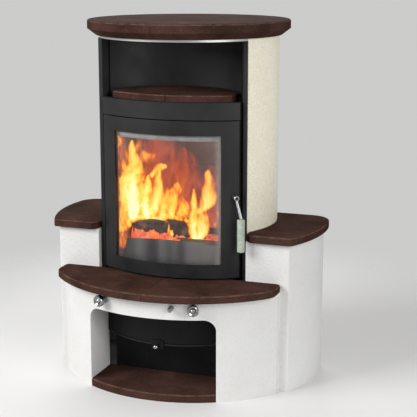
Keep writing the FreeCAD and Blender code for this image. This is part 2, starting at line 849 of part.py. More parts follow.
def make_flue_collar():
    step_y = flue_end_y - flue_spigot
    bore = flue_neck_radius - flue_wall
    profile = [
        (bore, firebox_back),
        (flue_neck_radius + 10.0, firebox_back),
        (flue_neck_radius + 10.0, firebox_back + 3.0),
        (flue_neck_radius, firebox_back + 3.0),
        (flue_neck_radius, step_y),
        (flue_radius, step_y),
        (flue_radius, flue_end_y),
        (bore, flue_end_y),
    ]
    corners = [point(radius, y, flue_height) for radius, y in profile]
    face = Part.Face(Part.makePolygon(corners + corners[:1]))
    return face.revolve(point(0, 0, flue_height), point(0, 1, 0), 360)


def make_niche_floor():
    top = shelf_bottom
    low = top - niche_floor_thickness
    disc = pillar(shell_inner, 0.0, 0.0, low, top)
    plan = pillar(frame_inner, 0.0, bow_centre_y, low - 1.0, top + 1.0)
    half = smoke_box_half_width
    duct = box(-half - 0.5, half + 0.5, smoke_box_front - 0.5, column_radius, low - 1.0, top + 1.0)
    return disc.common(plan).cut(duct)


def make_niche_back():
    centre = niche_back_y - niche_back_radius
    wall = pillar(niche_back_radius + 2.0, 0.0, centre, shelf_bottom, rim_bottom)
    wall = wall.cut(pillar(niche_back_radius, 0.0, centre, shelf_bottom - 1.0, rim_bottom + 1.0))
    front_y = post_front_y + niche_side_gap
    front = box(-beyond, beyond, -beyond, front_y, shelf_bottom - 1.0, rim_bottom + 1.0)
    return wall.common(pillar(shell_inner, 0.0, 0.0, shelf_bottom, rim_bottom)).cut(front)


def make_niche_shelf():
    radius = bow_radius - shelf_setback
    half = shelf_half_width
    side = on_bow(radius, half)[1] + shelf_side_depth
    shape = Outline(on_bow(radius, -half))
    shape.arc(on_bow(radius, 0.0), on_bow(radius, half))
    shape.line((half, side))
    shape.arc((0.0, niche_back_y - shelf_rear_gap), (-half, side))
    slab = shape.prism(shelf_bottom, shelf_top)
    return right_half(rounded_slab(slab, shelf_bottom, shelf_top, 3.0, 2.0))


# Lower body

def rod_holes(radius):
    holes = []
    for angle in (-air_knob_angle, air_knob_angle, riddle_knob_angle):
        hole = forward_rod(radius, damper_inner / 2.0, beyond, knob_height, surround_centre_y)
        holes.append(swing(hole, angle, surround_centre_y))
    return holes


def make_lower_panel():
    panel = ring_sector(panel_inner, panel_outer, -80.0, 80.0, body_floor, hearth_bottom)
    panel = panel.cut(box(-beyond, beyond, post_front_y, beyond, 0.0, beyond))
    gap = 2.0
    half = drawer_half_width + gap
    window = box(-half, half, -beyond, 0.0, body_floor - 1.0, drawer_top + gap)
    return panel.cut([window] + rod_holes(rod_radius + 4.0))


def make_ash_drawer():
    front = ring_sector(panel_inner, panel_outer, -80.0, 80.0, drawer_foot, drawer_top)
    front = front.common(box(-drawer_half_width, drawer_half_width, -beyond, 0.0, 0.0, beyond))
    low = drawer_foot + drawer_lift
    high = low + drawer_box_height
    half = drawer_box_half_width
    sheet = drawer_sheet
    outer = box(-half, half, -beyond, drawer_back_y, low, high)
    outer = outer.common(pillar(panel_inner + 1.0, 0, 0, low, high))
    hollow = box(-half + sheet, half - sheet, -beyond, drawer_back_y - sheet, low + sheet, high + 1.0)
    hollow = hollow.common(pillar(panel_inner, 0, 0, low, high + 1.0))
    pull_y = -panel_outer
    pull = box(-18.0, 18.0, pull_y - 5.0, pull_y + 1.0, body_foot - 11.0, drawer_foot + 9.0)
    pull = pull.cut(box(-30.0, 30.0, -column_radius - 0.6, 0.0, 0.0, drawer_foot))
    tray = outer.cut(hollow)
    return tray.fuse([front, pull]).removeSplitter()


def make_drawer_knob():
    z = body_foot - 2.0
    reach = panel_outer + 5.0
    neck = forward_rod(3.0, reach, reach + 8.0, z, 0.0)
    ball = Part.makeSphere(8.0, point(0.0, -reach - 12.0, z))
    foot = forward_rod(5.0, reach, reach + 1.5, z, 0.0)
    return neck.fuse([ball, foot]).removeSplitter()


def make_base_plate():
    # bottom plate of the column with the ash drawer's two runners welded on
    half = drawer_box_half_width
    low = drawer_foot + drawer_lift
    front = runner_front_space - column_radius
    wall_in = half + 2.0 * fit_gap
    wall_out = wall_in + drawer_sheet + 3.0 * fit_gap
    shelf = box(half - runner_width, wall_out, front, drawer_back_y, body_floor, low - fit_gap)
    side = box(wall_in, wall_out, front, drawer_back_y, body_floor, low + runner_side)
    runner = shelf.fuse(side).removeSplitter()
    plate = column_plan(column_radius, shell_outer, body_foot, body_floor)
    return plate.fuse([runner, mirrored(runner)]).removeSplitter()


def make_plinth():
    half = plinth_half_width
    sheet = plinth_sheet
    front = plinth_front_y
    back = plinth_back_y
    outer = box(-half, half, front, back, 0.0, body_foot)
    inner = box(-half + sheet, half - sheet, front + sheet, back - sheet, sheet, body_foot + 1.0)
    plinth = outer.cut(inner)
    return plinth.makeFillet(4.0, upright_edges(plinth, [(-half, front), (half, front)]))


def make_ash_chute():
    half = chute_half_width
    wall = chute_sheet
    y0 = grate_centre_y - half
    y1 = grate_centre_y + half
    duct = box(-half, half, y0, y1, chute_foot, firebox_bottom)
    inner = half - wall
    duct = duct.cut(box(-inner, inner, y0 + wall, y1 - wall, chute_foot - 1.0, firebox_bottom + 1.0))
    tray = pillar(panel_inner - 0.2, 0.0, 0.0, tray_height, tray_height + tray_thickness)
    tray = tray.common(box(-beyond, beyond, -beyond, y0 + wall, 0.0, beyond))
    tray_half = drawer_box_half_width
    for side in (-1, 1):
        low_x, high_x = sorted((side * tray_half, side * beyond))
        tray = tray.cut(box(low_x, high_x, post_front_y - 1.0, 0.0, 0.0, beyond))
    ports = []
    for angle in (-air_knob_angle, air_knob_angle):
        inner_y = surround_centre_y - damper_inner - 12.0
        port = box(-16.0, 16.0, inner_y - 28.0, inner_y, tray_height - 5.0, tray_height + 20.0)
        ports.append(swing(port, angle, surround_centre_y))
    path = forward_rod(rod_radius + 3.0, grate_radius / 2.0, beyond, knob_height, surround_centre_y)
    path = swing(path, riddle_knob_angle, surround_centre_y)
    return duct.fuse(tray).removeSplitter().cut(ports + [path])


# White surround, benches and slabs

def make_front_surround():
    c = surround_centre_y
    outer = surround_radius
    inner = surround_radius - surround_wall
    out_x = surround_half_width
    out_y = c - math.sqrt(outer ** 2 - out_x ** 2)
    wall = pillar(outer, 0.0, c, 0.0, hearth_bottom).cut(pillar(inner, 0.0, c, -1.0, hearth_bottom + 1.0))
    wall = wall.common(box(-out_x, out_x, -beyond, bench_face_y, 0.0, hearth_bottom))
    wall = wall.makeFillet(surround_end_round, upright_edges(wall, [(-out_x, out_y), (out_x, out_y)]))
    half = opening_half_width
    cheek_back = plinth_front_y - 3.0
    cheek = box(half, half + cheek_thickness, -beyond, cheek_back, 0.0, hearth_bottom)
    cheek = cheek.common(pillar(outer - 10.0, 0.0, c, 0.0, hearth_bottom))
    cheek = cheek.cut(pillar(column_radius + 1.0, 0.0, 0.0, body_foot - 4.0, hearth_bottom + 1.0))
    body = wall.fuse([cheek, mirrored(cheek)]).removeSplitter()
    arch = box(-half, half, -beyond, corner_y, -opening_corner, opening_height)
    crown = []
    for edge in arch.Edges:
        middle = edge.CenterOfMass
        if abs(middle.z - opening_height) < 1e-4 and abs(abs(middle.x) - half) < 1e-4:
            crown.append(edge)
    arch = arch.makeFillet(opening_corner, crown)
    return body.cut(arch).cut(rod_holes(bush_radius))


def bench_outline(radius, front_y, back_y, corner, inner_x, column):
    c = bench_centre_y
    bend_y = back_y - corner
    bend_x = math.sqrt((radius - corner) ** 2 - (bend_y - c) ** 2)
    length = radius - corner
    touch = (bend_x * radius / length, c + (bend_y - c) * radius / length)
    turn = (math.pi / 2.0 + math.atan2(bend_y - c, bend_x)) / 2.0
    middle = (bend_x + corner * math.cos(turn), bend_y + corner * math.sin(turn))
    corner_point = (math.sqrt(radius ** 2 - (front_y - c) ** 2), front_y)
    swing_low = math.atan2(front_y - c, corner_point[0])
    swing_high = math.atan2(touch[1] - c, touch[0])
    half_way = (swing_low + swing_high) / 2.0
    shape = Outline((inner_x, front_y))
    shape.line(corner_point)
    shape.arc((radius * math.cos(half_way), c + radius * math.sin(half_way)), touch)
    shape.arc(middle, (bend_x, back_y))
    if column:
        shape.line((math.sqrt(column ** 2 - back_y ** 2), back_y))
        shape.arc((column, 0.0), (inner_x, -math.sqrt(column ** 2 - inner_x ** 2)))
    else:
        shape.line((inner_x, back_y))
    return shape


def make_bench_body():
    column = column_radius + bench_column_gap
    inner_x = corner_x + 4.0
    solid = bench_outline(bench_radius, bench_face_y, bench_back_y, bench_corner, inner_x, column)
    body = solid.prism(0.0, bench_slab_bottom)
    edge_x = math.sqrt(bench_radius ** 2 - (bench_face_y - bench_centre_y) ** 2)
    body = body.makeFillet(7.0, upright_edges(body, [(edge_x, bench_face_y)]))
    w = bench_wall
    hollow_corner = bench_corner - w + 5.0
    hollow = bench_outline(
        bench_radius - w, bench_face_y + w, bench_back_y - w, hollow_corner, corner_x / 2.0, None
    )
    return body.cut(hollow.prism(-1.0, bench_slab_bottom + 1.0))


def make_bench_slab():
    o = bench_overhang
    column = column_radius + bench_column_gap - 1.0
    inner_x = corner_x + 6.0
    front_y = bench_face_y - o
    outline = bench_outline(bench_radius + o, front_y, bench_back_y + o, bench_corner + o, inner_x, column)
    slab = outline.prism(bench_slab_bottom, bench_height)
    slab = slab.makeChamfer(15.0, upright_edges(slab, [(inner_x, front_y)]))
    edge_x = math.sqrt((bench_radius + o) ** 2 - (front_y - bench_centre_y) ** 2)
    slab = slab.makeFillet(8.0, upright_edges(slab, [(edge_x, front_y)]))
    return rounded_slab(slab, bench_slab_bottom, bench_height, 5.0, 3.0)


def make_hearth_slab():
    c = surround_centre_y
    radius = surround_radius + hearth_overhang
    tip_x = surround_half_width + hearth_side_overhang
    tip_y = c - math.sqrt(radius ** 2 - tip_x ** 2)
    shape = Outline((slab_joint / 2.0, bench_face_y))
    shape.line((slab_joint / 2.0, c - math.sqrt(radius ** 2 - 0.25 * slab_joint ** 2)))
    half_way = math.asin(tip_x / radius) / 2.0
    shape.arc((radius * math.sin(half_way), c - radius * math.cos(half_way)), (tip_x, tip_y))
    shape.line((tip_x, bench_face_y))
    slab = shape.prism(hearth_bottom, hearth_height)
    slab = slab.makeFillet(hearth_tip_round, upright_edges(slab, [(tip_x, tip_y)]))
    slab = slab.makeFillet(hearth_back_round, upright_edges(slab, [(tip_x, bench_face_y)]))
    front = []
    for edge in slab.Edges:
        middle = edge.CenterOfMass
        level = abs(edge.Vertexes[0].Z - edge.Vertexes[-1].Z) < 1e-4
        if level and middle.y < bench_face_y - 1.0 and middle.x > slab_joint:
            front.append(edge)
    return slab.makeFillet(5.0, front)


def make_base_slab():
    c = surround_centre_y
    radius = surround_radius - 2.0
    half = opening_half_width - 1.0
    edge_y = c - math.sqrt(radius ** 2 - half ** 2)
    shape = Outline((-half, plinth_front_y))
    shape.line((-half, edge_y))
    shape.arc((0.0, c - radius), (half, edge_y))
    shape.line((half, plinth_front_y))
    slab = shape.prism(0.0, slab_thickness)
    front = [edge for edge in edges_at_height(slab, slab_thickness) if edge.CenterOfMass.y < edge_y]
    return slab.makeFillet(4.0, front)


# Air controls, built at the front and swung to their angle

def make_rod_bushes():
    bushes = []
    outer = surround_radius
    inner = surround_radius - surround_wall
    bore_radius = rod_radius + running_gap
    for angle in (-air_knob_angle, air_knob_angle, riddle_knob_angle):
        bush = forward_rod(bush_radius, inner + 0.5, outer - 0.5, knob_height, surround_centre_y)
        bore = forward_rod(bore_radius, inner - 5.0, outer + 5.0, knob_height, surround_centre_y)
        bushes.append(swing(bush.cut(bore), angle, surround_centre_y))
    return Part.makeCompound(bushes)


def make_air_knob(angle):
    start = surround_radius + 1.5
    end = start + air_knob_length
    r = air_knob_radius
    profile = [
        (rod_radius, start),
        (0.72 * r, start),
        (0.66 * r, start + 8.0),
        (0.72 * r, start + 12.0),
        (r, start + 16.0),
        (r, end - 5.0),
        (r - 1.2, end - 2.5),
        (r - 4.0, end - 1.5),
        (0.45 * r, end - 4.5),
        (0.36 * r, end - 2.0),
        (0.2 * r, end),
        (0.0, end),
        (0.0, start + 20.0),
        (rod_radius, start + 20.0),
    ]
    return swing(turned_profile(profile, knob_height, surround_centre_y), angle, surround_centre_y)


def make_damper(angle):
    c = surround_centre_y
    z = knob_height
    rod = forward_rod(rod_radius, damper_inner + 3.0, surround_radius + 1.5 + 20.0, z, c)
    low = tray_height + tray_thickness + fit_gap
    inner_y = c - damper_inner
    tab = box(-8.0, 8.0, inner_y - 4.0, inner_y, low, z + 7.0)
    plate = box(-24.0, 24.0, inner_y - 54.0, inner_y, low, low + 3.0)
    return swing(rod.fuse([tab, plate]).removeSplitter(), angle, c)


def make_riddle_rod():
    c = surround_centre_y
    z = knob_height
    # distance from the surround's centre line to the foot of the perpendicular through the grate's axis
    turn = math.radians(riddle_knob_angle)
    foot = (c - grate_centre_y) * math.cos(turn)
    aside = (c - grate_centre_y) * math.sin(turn)
    back = foot - riddle_travel / 2.0
    start = surround_radius + 1.5
    end = start + riddle_knob_length
    r = riddle_knob_radius
    rod = forward_rod(rod_radius, back, start + 4.0, z, c)
    pin_x = crank_length * math.cos(math.radians(crank_start)) - aside
    plate = box(-6.0, crank_length - aside + 12.0, c - back - 11.0, c - back + 11.0, z - 2.5, z + 2.5)
    slot_radius = crank_pin_radius + grate_space
    slot_y = c - back
    slot_ends = (pin_x - 3.0, pin_x + 5.0)
    slot = box(*slot_ends, slot_y - slot_radius, slot_y + slot_radius, z - 10.0, z + 10.0)
    slot = slot.fuse([pillar(slot_radius, x, slot_y, z - 10.0, z + 10.0) for x in slot_ends])
    profile = [
        (0.0, start),
        (0.7 * r, start),
        (0.7 * r, start + 6.0),
        (r, start + 9.0),
        (r, end - 3.0),
        (r - 2.0, end - 0.8),
        (0.0, end),
    ]
    knob = turned_profile(profile, z, c)
    shape = rod.fuse([plate, knob]).removeSplitter().cut(slot)
    return swing(shape, riddle_knob_angle, c)


def build_nodes():
    right_post = make_post()
    left_post = mirrored(right_post)
    posts = [left_post, right_post]
    nodes = {
        "right_top_plate": make_top_plate(),
        "top_rim": column_plan(column_radius, shell_outer, rim_bottom, plate_bottom),
        "base_plate": make_base_plate(),
        "carcass_shell": make_carcass_shell(),
        "left_post": left_post,
        "right_post": right_post,
        "rear_shield": make_rear_shield(),
        "front_frame": make_front_frame(posts),
        "header_band": make_header_band(posts),
        "door_frame": make_door_frame(),
        "door_glass": make_door_glass(),
        "glass_gasket": make_glass_gasket(),
        "glass_retainers": make_glass_retainers(),
        "door_seal": make_door_seal(),
        "hinge_plates": make_hinge_plates(posts),
        "handle_boss": make_handle_boss(),
        "handle_spindle": make_handle_spindle(),
        "handle_lever": make_handle_lever(),
        "handle_grip": make_handle_grip(),
        "firebox": make_firebox(),
        "right_bricks": make_side_brick(),
        "rear_bricks": make_rear_brick(),
        "hearth_bricks": make_hearth_bricks(),
        "baffle_plate": make_baffle(),
        "grate_ring": make_grate_ring(),
        "riddle_grate": make_riddle_grate(),
        "log_guard": make_log_guard(),
        "smoke_box": make_smoke_box(),
        "flue_collar": make_flue_collar(),
        "niche_floor": make_niche_floor(),
        "niche_back": make_niche_back(),
        "right_niche_shelf": make_niche_shelf(),
        "lower_panel": make_lower_panel(),
        "ash_drawer": make_ash_drawer(),
        "drawer_knob": make_drawer_knob(),
        "plinth": make_plinth(),
        "ash_chute": make_ash_chute(),
        "front_surround": make_front_surround(),
        "right_bench": make_bench_body(),
        "right_bench_slab": make_bench_slab(),
        "right_hearth_slab": make_hearth_slab(),
        "base_slab": make_base_slab(),
        "rod_bushes": make_rod_bushes(),
        "primary_knob": make_air_knob(-air_knob_angle),
        "primary_damper": make_damper(-air_knob_angle),
        "secondary_knob": make_air_knob(air_knob_angle),
        "secondary_damper": make_damper(air_knob_angle),
        "riddle_rod": make_riddle_rod(),
    }
    for side in ("bricks", "bench", "bench_slab", "hearth_slab", "top_plate", "niche_shelf"):
        nodes["left_" + side] = mirrored(nodes["right_" + side])
    for tier, word in enumerate(("lower", "middle", "upper")):
        tile = make_tile(tier)
        nodes["right_tile_" + word] = tile
        nodes["left_tile_" + word] = mirrored(tile)
    return nodes


os.makedirs("parts", exist_ok=True)
for name, shape in build_nodes().items():
    shape.exportStep("parts/" + name + ".step")
    print(name, "valid" if shape.isValid() else "NOT VALID", len(shape.Solids), round(shape.Volume))
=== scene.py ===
import json
import math

import bmesh
import bpy
from mathutils import Matrix, Vector, noise


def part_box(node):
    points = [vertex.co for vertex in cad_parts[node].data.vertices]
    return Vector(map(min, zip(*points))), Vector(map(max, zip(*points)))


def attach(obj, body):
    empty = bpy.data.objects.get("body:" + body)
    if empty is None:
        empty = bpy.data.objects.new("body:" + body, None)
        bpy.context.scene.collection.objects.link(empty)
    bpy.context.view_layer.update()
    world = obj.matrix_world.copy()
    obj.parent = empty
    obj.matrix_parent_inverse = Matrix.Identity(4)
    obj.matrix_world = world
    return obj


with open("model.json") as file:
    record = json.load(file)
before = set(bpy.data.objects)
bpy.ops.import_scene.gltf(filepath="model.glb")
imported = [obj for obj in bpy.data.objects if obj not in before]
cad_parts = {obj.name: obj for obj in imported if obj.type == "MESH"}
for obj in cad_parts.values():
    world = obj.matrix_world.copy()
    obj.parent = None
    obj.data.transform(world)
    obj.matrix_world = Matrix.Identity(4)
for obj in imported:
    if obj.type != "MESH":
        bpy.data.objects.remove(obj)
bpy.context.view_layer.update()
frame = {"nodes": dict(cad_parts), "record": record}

print("stove frame loaded,", len(frame["nodes"]), "nodes")

evenStretch = (1.0, 1.0, 1.0)


class Wire:  # a shader socket that can take part in sums
    def __init__(self, finish, socket):
        self.finish = finish
        self.socket = socket

    def maths(self, operation, first, second=0.0):
        return self.finish.node("ShaderNodeMath", {"operation": operation}, {0: first, 1: second})

    def __add__(self, other):
        return self.maths("ADD", self, other)

    def __radd__(self, other):
        return self.maths("ADD", other, self)

    def __sub__(self, other):
        return self.maths("SUBTRACT", self, other)

    def __rsub__(self, other):
        return self.maths("SUBTRACT", other, self)

    def __mul__(self, other):
        return self.maths("MULTIPLY", self, other)

    def __rmul__(self, other):
        return self.maths("MULTIPLY", other, self)

    def __truediv__(self, other):
        return self.maths("DIVIDE", self, other)

    def __rtruediv__(self, other):
        return self.maths("DIVIDE", other, self)

    def __abs__(self):
        return self.maths("ABSOLUTE", self)

    def fraction(self):
        return self.maths("FRACT", self)

    def root(self):
        return self.maths("SQRT", self)

    def larger(self, other):
        return self.maths("MAXIMUM", self, other)

    def step(self, low, high, first=0.0, last=1.0):  # eases from first to last between low and high
        settings = {"interpolation_type": "SMOOTHSTEP"}
        sockets = {"Value": self, "From Min": low, "From Max": high, "To Min": first, "To Max": last}
        return self.finish.node("ShaderNodeMapRange", settings, sockets)


def fillRamp(ramp, stops):
    while len(ramp.elements) < len(stops):
        ramp.elements.new(0.5)
    for element, (place, colour) in zip(ramp.elements, stops):
        element.position = place
        element.color = colour


class Finish:  # the nodes of one material, or of the world
    def __init__(self, owner):
        owner.use_nodes = True
        self.owner = owner
        self.tree = owner.node_tree
        self.tree.nodes.clear()

    def node(self, kind, settings=None, sockets=None, output=0):
        made = self.tree.nodes.new(kind)
        for key, value in (settings or {}).items():
            if key == "stops":
                fillRamp(made.color_ramp, value)
            else:
                setattr(made, key, value)
        for key, value in (sockets or {}).items():
            if isinstance(value, Wire):
                self.tree.links.new(value.socket, made.inputs[key])
            else:
                made.inputs[key].default_value = value
        return Wire(self, made.outputs[output])

    def place(self, stretch=evenStretch):
        coordinates = self.node("ShaderNodeTexCoord", output="Object")
        if stretch == evenStretch:
            return coordinates
        return self.node("ShaderNodeMapping", {}, {"Vector": coordinates, "Scale": stretch})

    def axes(self, names):  # the named coordinates of a point, in metres
        parts = self.node("ShaderNodeSeparateXYZ", {}, {0: self.place()})
        return [Wire(self, parts.socket.node.outputs[name]) for name in names]

    def grain(self, scale, detail=3.0, rough=0.55, twist=0.0, stretch=evenStretch):
        sockets = {
            "Vector": self.place(stretch),
            "Scale": scale,
            "Detail": detail,
            "Roughness": rough,
            "Distortion": twist,
        }
        return self.node("ShaderNodeTexNoise", {}, sockets)

    def cells(self, scale, stretch=evenStretch):  # distance to the nearest crack between lumps
        sockets = {"Vector": self.place(stretch), "Scale": scale}
        return self.node("ShaderNodeTexVoronoi", {"feature": "DISTANCE_TO_EDGE"}, sockets)

    def attribute(self, name):
        return self.node("ShaderNodeAttribute", {"attribute_name": name}, output="Fac")

    def mix(self, amount, first, second):
        return self.node("ShaderNodeMix", {"data_type": "RGBA"}, {0: amount, 6: first, 7: second}, 2)

    def ramp(self, amount, stops):
        return self.node("ShaderNodeValToRGB", {"stops": stops}, {0: amount})

    def bump(self, height, strength, distance):
        return self.node("ShaderNodeBump", {}, {"Height": height, "Strength": strength, "Distance": distance})

    def shader(self, sockets):
        return self.node("ShaderNodeBsdfPrincipled", {}, sockets)

    def close(self, surface, kind="ShaderNodeOutputMaterial"):
        out = self.tree.nodes.new(kind)
        self.tree.links.new(surface.socket, out.inputs["Surface"])
        return self.owner


def newFinish(name):
    return Finish(bpy.data.materials.new(name))


def rgb(red, green, blue):
    return (red, green, blue, 1.0)


# Finishes, one for each material of the stove

brownNames = ("top_plate", "niche_shelf", "bench_slab", "hearth_slab", "base_slab")
brownNodes = [node for node in frame["nodes"] if node.endswith(brownNames)]
brownSettings = {
    "deep": rgb(0.039, 0.0194, 0.0152),
    "warm": rgb(0.078, 0.039, 0.0298),
    "pale": rgb(0.15, 0.082, 0.062),
    "dark": rgb(0.014, 0.007, 0.006),
    # lighter colour for the upper edges: partly real wear, partly a painted highlight
    "wornHighlight": rgb(0.19, 0.115, 0.092),
    "tint": rgb(0.7, 0.56, 0.52),
    "shine": 0.0004,  # with more, the flat tops turn grey when seen from low down
    "cloudScale": 9.0,
    "speckScale": 260.0,
    "poreScale": 330.0,
    "fineScale": 900.0,
    "rubHighlightScale": 46.0,
    "glossScale": 60.0,
    "speckShare": 0.55,
    "poreShare": 0.6,
    "wornHighlightShare": 0.55,
    "edgeBelow": 0.0026,
    "edgeCore": 0.0008,
    "edgeReach": 0.0024,
    "levels": sorted({round(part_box(node)[1][2], 4) for node in brownNodes}),
}


def brownSlab():
    look = brownSettings
    finish = newFinish("brownSlab")
    [height] = finish.axes("Z")
    clouds = finish.grain(look["cloudScale"], detail=6.0, rough=0.62, twist=0.4).step(0.3, 0.72)
    specks = finish.grain(look["speckScale"], rough=0.6).step(0.56, 0.7)
    pores = finish.grain(look["poreScale"], rough=0.6).step(0.58, 0.72)
    fine = finish.grain(look["fineScale"], rough=0.6)
    rubbedHighlight = finish.grain(look["rubHighlightScale"], detail=4.0, rough=0.6).step(0.3, 0.66)
    gloss = finish.grain(look["glossScale"], detail=4.0)
    edge = 0.0
    for level in look["levels"]:  # the rounded upper edge of each slab
        apart = abs(height - (level - look["edgeBelow"]))
        edge = edge + apart.step(look["edgeCore"], look["edgeReach"], 1.0, 0.0)
    colour = finish.mix(clouds, look["deep"], look["warm"])
    colour = finish.mix(specks * look["speckShare"], colour, look["pale"])
    colour = finish.mix(pores * look["poreShare"], colour, look["dark"])
    # the upper edges are painted lighter: partly real wear, partly a painted highlight along each rounded
    # edge
    colour = finish.mix(edge * rubbedHighlight * look["wornHighlightShare"], colour, look["wornHighlight"])
    return finish.close(finish.shader({
        "Base Color": colour,
        "Roughness": 0.4 + 0.16 * gloss - 0.08 * edge,
        "Specular IOR Level": look["shine"],
        "Specular Tint": look["tint"],
        "Normal": finish.bump(fine * 0.5 + clouds * 0.3 - pores * 0.5, strength=0.2, distance=0.0008),
    }))


creamSettings = {
    "sand": rgb(0.85, 0.79, 0.615),
    "light": rgb(0.96, 0.925, 0.795),
    "speck": rgb(0.52, 0.44, 0.29),
    "veinScale": 16.0,
    "mottleScale": 130.0,
    "speckScale": 250.0,
    "pitScale": 260.0,
    "speckShare": 0.42,
}


def creamTile():
    look = creamSettings
    finish = newFinish("creamTile")
    veins = finish.grain(look["veinScale"], detail=8.0, rough=0.66, twist=0.8).step(0.32, 0.7)
    mottle = finish.grain(look["mottleScale"], detail=4.0, rough=0.6).step(0.34, 0.66)
    specks = finish.grain(look["speckScale"], detail=2.0, rough=0.5).step(0.58, 0.7)
    pits = finish.grain(look["pitScale"], detail=4.0, rough=0.6)
    colour = finish.mix(veins * 0.35 + mottle * 0.65, look["sand"], look["light"])
    colour = finish.mix(specks * look["speckShare"], colour, look["speck"])
    return finish.close(finish.shader({
        "Base Color": colour,
        "Roughness": 0.44 + 0.22 * mottle,
        "Normal": finish.bump(pits, strength=0.2, distance=0.0008),
    }))


plasterSettings = {
    "white": rgb(0.77, 0.768, 0.756),
    "shade": rgb(0.7, 0.695, 0.674),
    "patchScale": 7.0,
    "peelScale": 150.0,
    "sandScale": 760.0,
}


def whitePlaster():
    look = plasterSettings
    finish = newFinish("whitePlaster")
    patches = finish.grain(look["patchScale"], detail=5.0, rough=0.6).step(0.35, 0.7)
    orangePeel = finish.grain(look["peelScale"])
    sand = finish.grain(look["sandScale"], detail=2.0, rough=0.6)
    hollows = orangePeel.step(0.28, 0.5)
    # the patches are tone that differs at random; the low parts of the orange peel are painted darker,
    # painted shade in its hollows
    colour = finish.mix(0.45 * patches + 0.55 * hollows, look["shade"], look["white"])
    return finish.close(finish.shader({
        "Base Color": colour,
        "Roughness": 0.74 + 0.16 * sand,
        "Normal": finish.bump(0.75 * orangePeel + 0.25 * sand, strength=0.75, distance=0.0022),
    }))


steelSettings = {
    "blackSteel": {
        "low": rgb(0.0085, 0.0085, 0.009),
        "high": rgb(0.0145, 0.0145, 0.015),
        "dusty": rgb(0.028, 0.027, 0.0265),
        "shine": 0.3,
    },
    # a lighter copy of the black paint: painted light on the back of the niche
    "litNicheSteel": {
        "low": rgb(0.018, 0.018, 0.0187),
        "high": rgb(0.027, 0.027, 0.0278),
        "dusty": rgb(0.042, 0.041, 0.04),
        "shine": 0.3,
    },
    # a darker copy of the black paint: painted shade on the recessed pieces low down
    "shadedPanelSteel": {
        "low": rgb(0.006, 0.006, 0.0063),
        "high": rgb(0.01, 0.01, 0.0104),
        "dusty": rgb(0.018, 0.0175, 0.017),
        "shine": 0.12,
    },
}
paintSettings = {"sprayScale": 1300.0, "cloudScale": 14.0, "dustScale": 48.0, "dustShare": 0.35}


def blackSteel(name):
    look = steelSettings[name]
    paint = paintSettings
    finish = newFinish(name)
    spray = finish.grain(paint["sprayScale"], detail=2.0, rough=0.5)
    clouds = finish.grain(paint["cloudScale"], detail=4.0, rough=0.6).step(0.3, 0.7)
    dust = finish.grain(paint["dustScale"], detail=6.0, rough=0.7).step(0.55, 0.8)
    colour = finish.mix(clouds, look["low"], look["high"])
    colour = finish.mix(dust * paint["dustShare"], colour, look["dusty"])
    return finish.close(finish.shader({
        "Base Color": colour,
        "Roughness": 0.42 + 0.14 * clouds,
        "Specular IOR Level": look["shine"],
        "Normal": finish.bump(spray, strength=0.14, distance=0.0004),
    }))


rimSettings = {
    "dark": rgb(0.36, 0.36, 0.355),
    "light": rgb(0.56, 0.555, 0.545),
    "brushScale": 70.0,
    "brushStretch": (1.0, 1.0, 26.0),
}


def rimSteel():
    look = rimSettings
    finish = newFinish("rimSteel")
    brushed = finish.grain(look["brushScale"], detail=4.0, rough=0.6, stretch=look["brushStretch"])
    return finish.close(finish.shader({
        "Base Color": finish.mix(brushed, look["dark"], look["light"]),
        "Metallic": 0.75,
        "Roughness": 0.3 + 0.2 * brushed,
        "Normal": finish.bump(brushed, strength=0.08, distance=0.0003),
    }))


guardSettings = {
    "dark": rgb(0.03, 0.03, 0.033),
    "light": rgb(0.27, 0.27, 0.276),
    "brushScale": 26.0,
    "brushStretch": (14.0, 14.0, 1.0),
    # soft vertical bands: painted reflections of the lamps on the bowed guard
    "reflectionBandScale": 15.0,
    "reflectionBandStretch": (1.0, 1.0, 0.02),
}


def guardSteel():
    look = guardSettings
    finish = newFinish("guardSteel")
    brushed = finish.grain(look["brushScale"], detail=5.0, rough=0.65, stretch=look["brushStretch"])
    # the vertical bands are painted reflections; the brushing is the steel's own
    bands = finish.grain(look["reflectionBandScale"], detail=1.0, rough=0.4, stretch=look["reflectionBandStretch"])
    bands = bands.step(0.34, 0.66)
    return finish.close(finish.shader({
        "Base Color": finish.mix(0.25 * brushed + 0.75 * bands, look["dark"], look["light"]),
        "Metallic": 0.9,
        "Roughness": 0.34 + 0.2 * brushed,
        "Normal": finish.bump(brushed, strength=0.12, distance=0.0004),
    }))


plainSettings = {
    "dark": rgb(0.3, 0.3, 0.305),
    "light": rgb(0.5, 0.5, 0.505),
    "brushScale": 90.0,
    "brushStretch": (1.0, 14.0, 1.0),
    "smudgeScale": 20.0,
}


def plainSteel():
    look = plainSettings
    finish = newFinish("plainSteel")
    brushed = finish.grain(look["brushScale"], detail=4.0, rough=0.6, stretch=look["brushStretch"])
    smudge = finish.grain(look["smudgeScale"], detail=4.0).step(0.4, 0.75)
    return finish.close(finish.shader({
        "Base Color": finish.mix(brushed, look["dark"], look["light"]),
        "Metallic": 1.0,
        "Roughness": 0.28 + 0.22 * smudge,
        "Normal": finish.bump(brushed, strength=0.08, distance=0.0003),
    }))


chromeSettings = {
    "clean": rgb(0.3, 0.3, 0.305),
    "smudged": rgb(0.2, 0.2, 0.205),
    "smudgeScale": 55.0,
    "turningScale": 30.0,
    "turningStretch": (1.0, 1.0, 20.0),
}


def chrome():
    look = chromeSettings
    finish = newFinish("chrome")
    smudge = finish.grain(look["smudgeScale"], detail=4.0, rough=0.6).step(0.45, 0.8)
    turning = finish.grain(look["turningScale"], rough=0.5, stretch=look["turningStretch"])
    return finish.close(finish.shader({
        "Base Color": finish.mix(smudge, look["clean"], look["smudged"]),
        "Metallic": 1.0,
        "Roughness": 0.16 + 0.12 * smudge,
        "Normal": finish.bump(turning, strength=0.03, distance=0.0002),
    }))


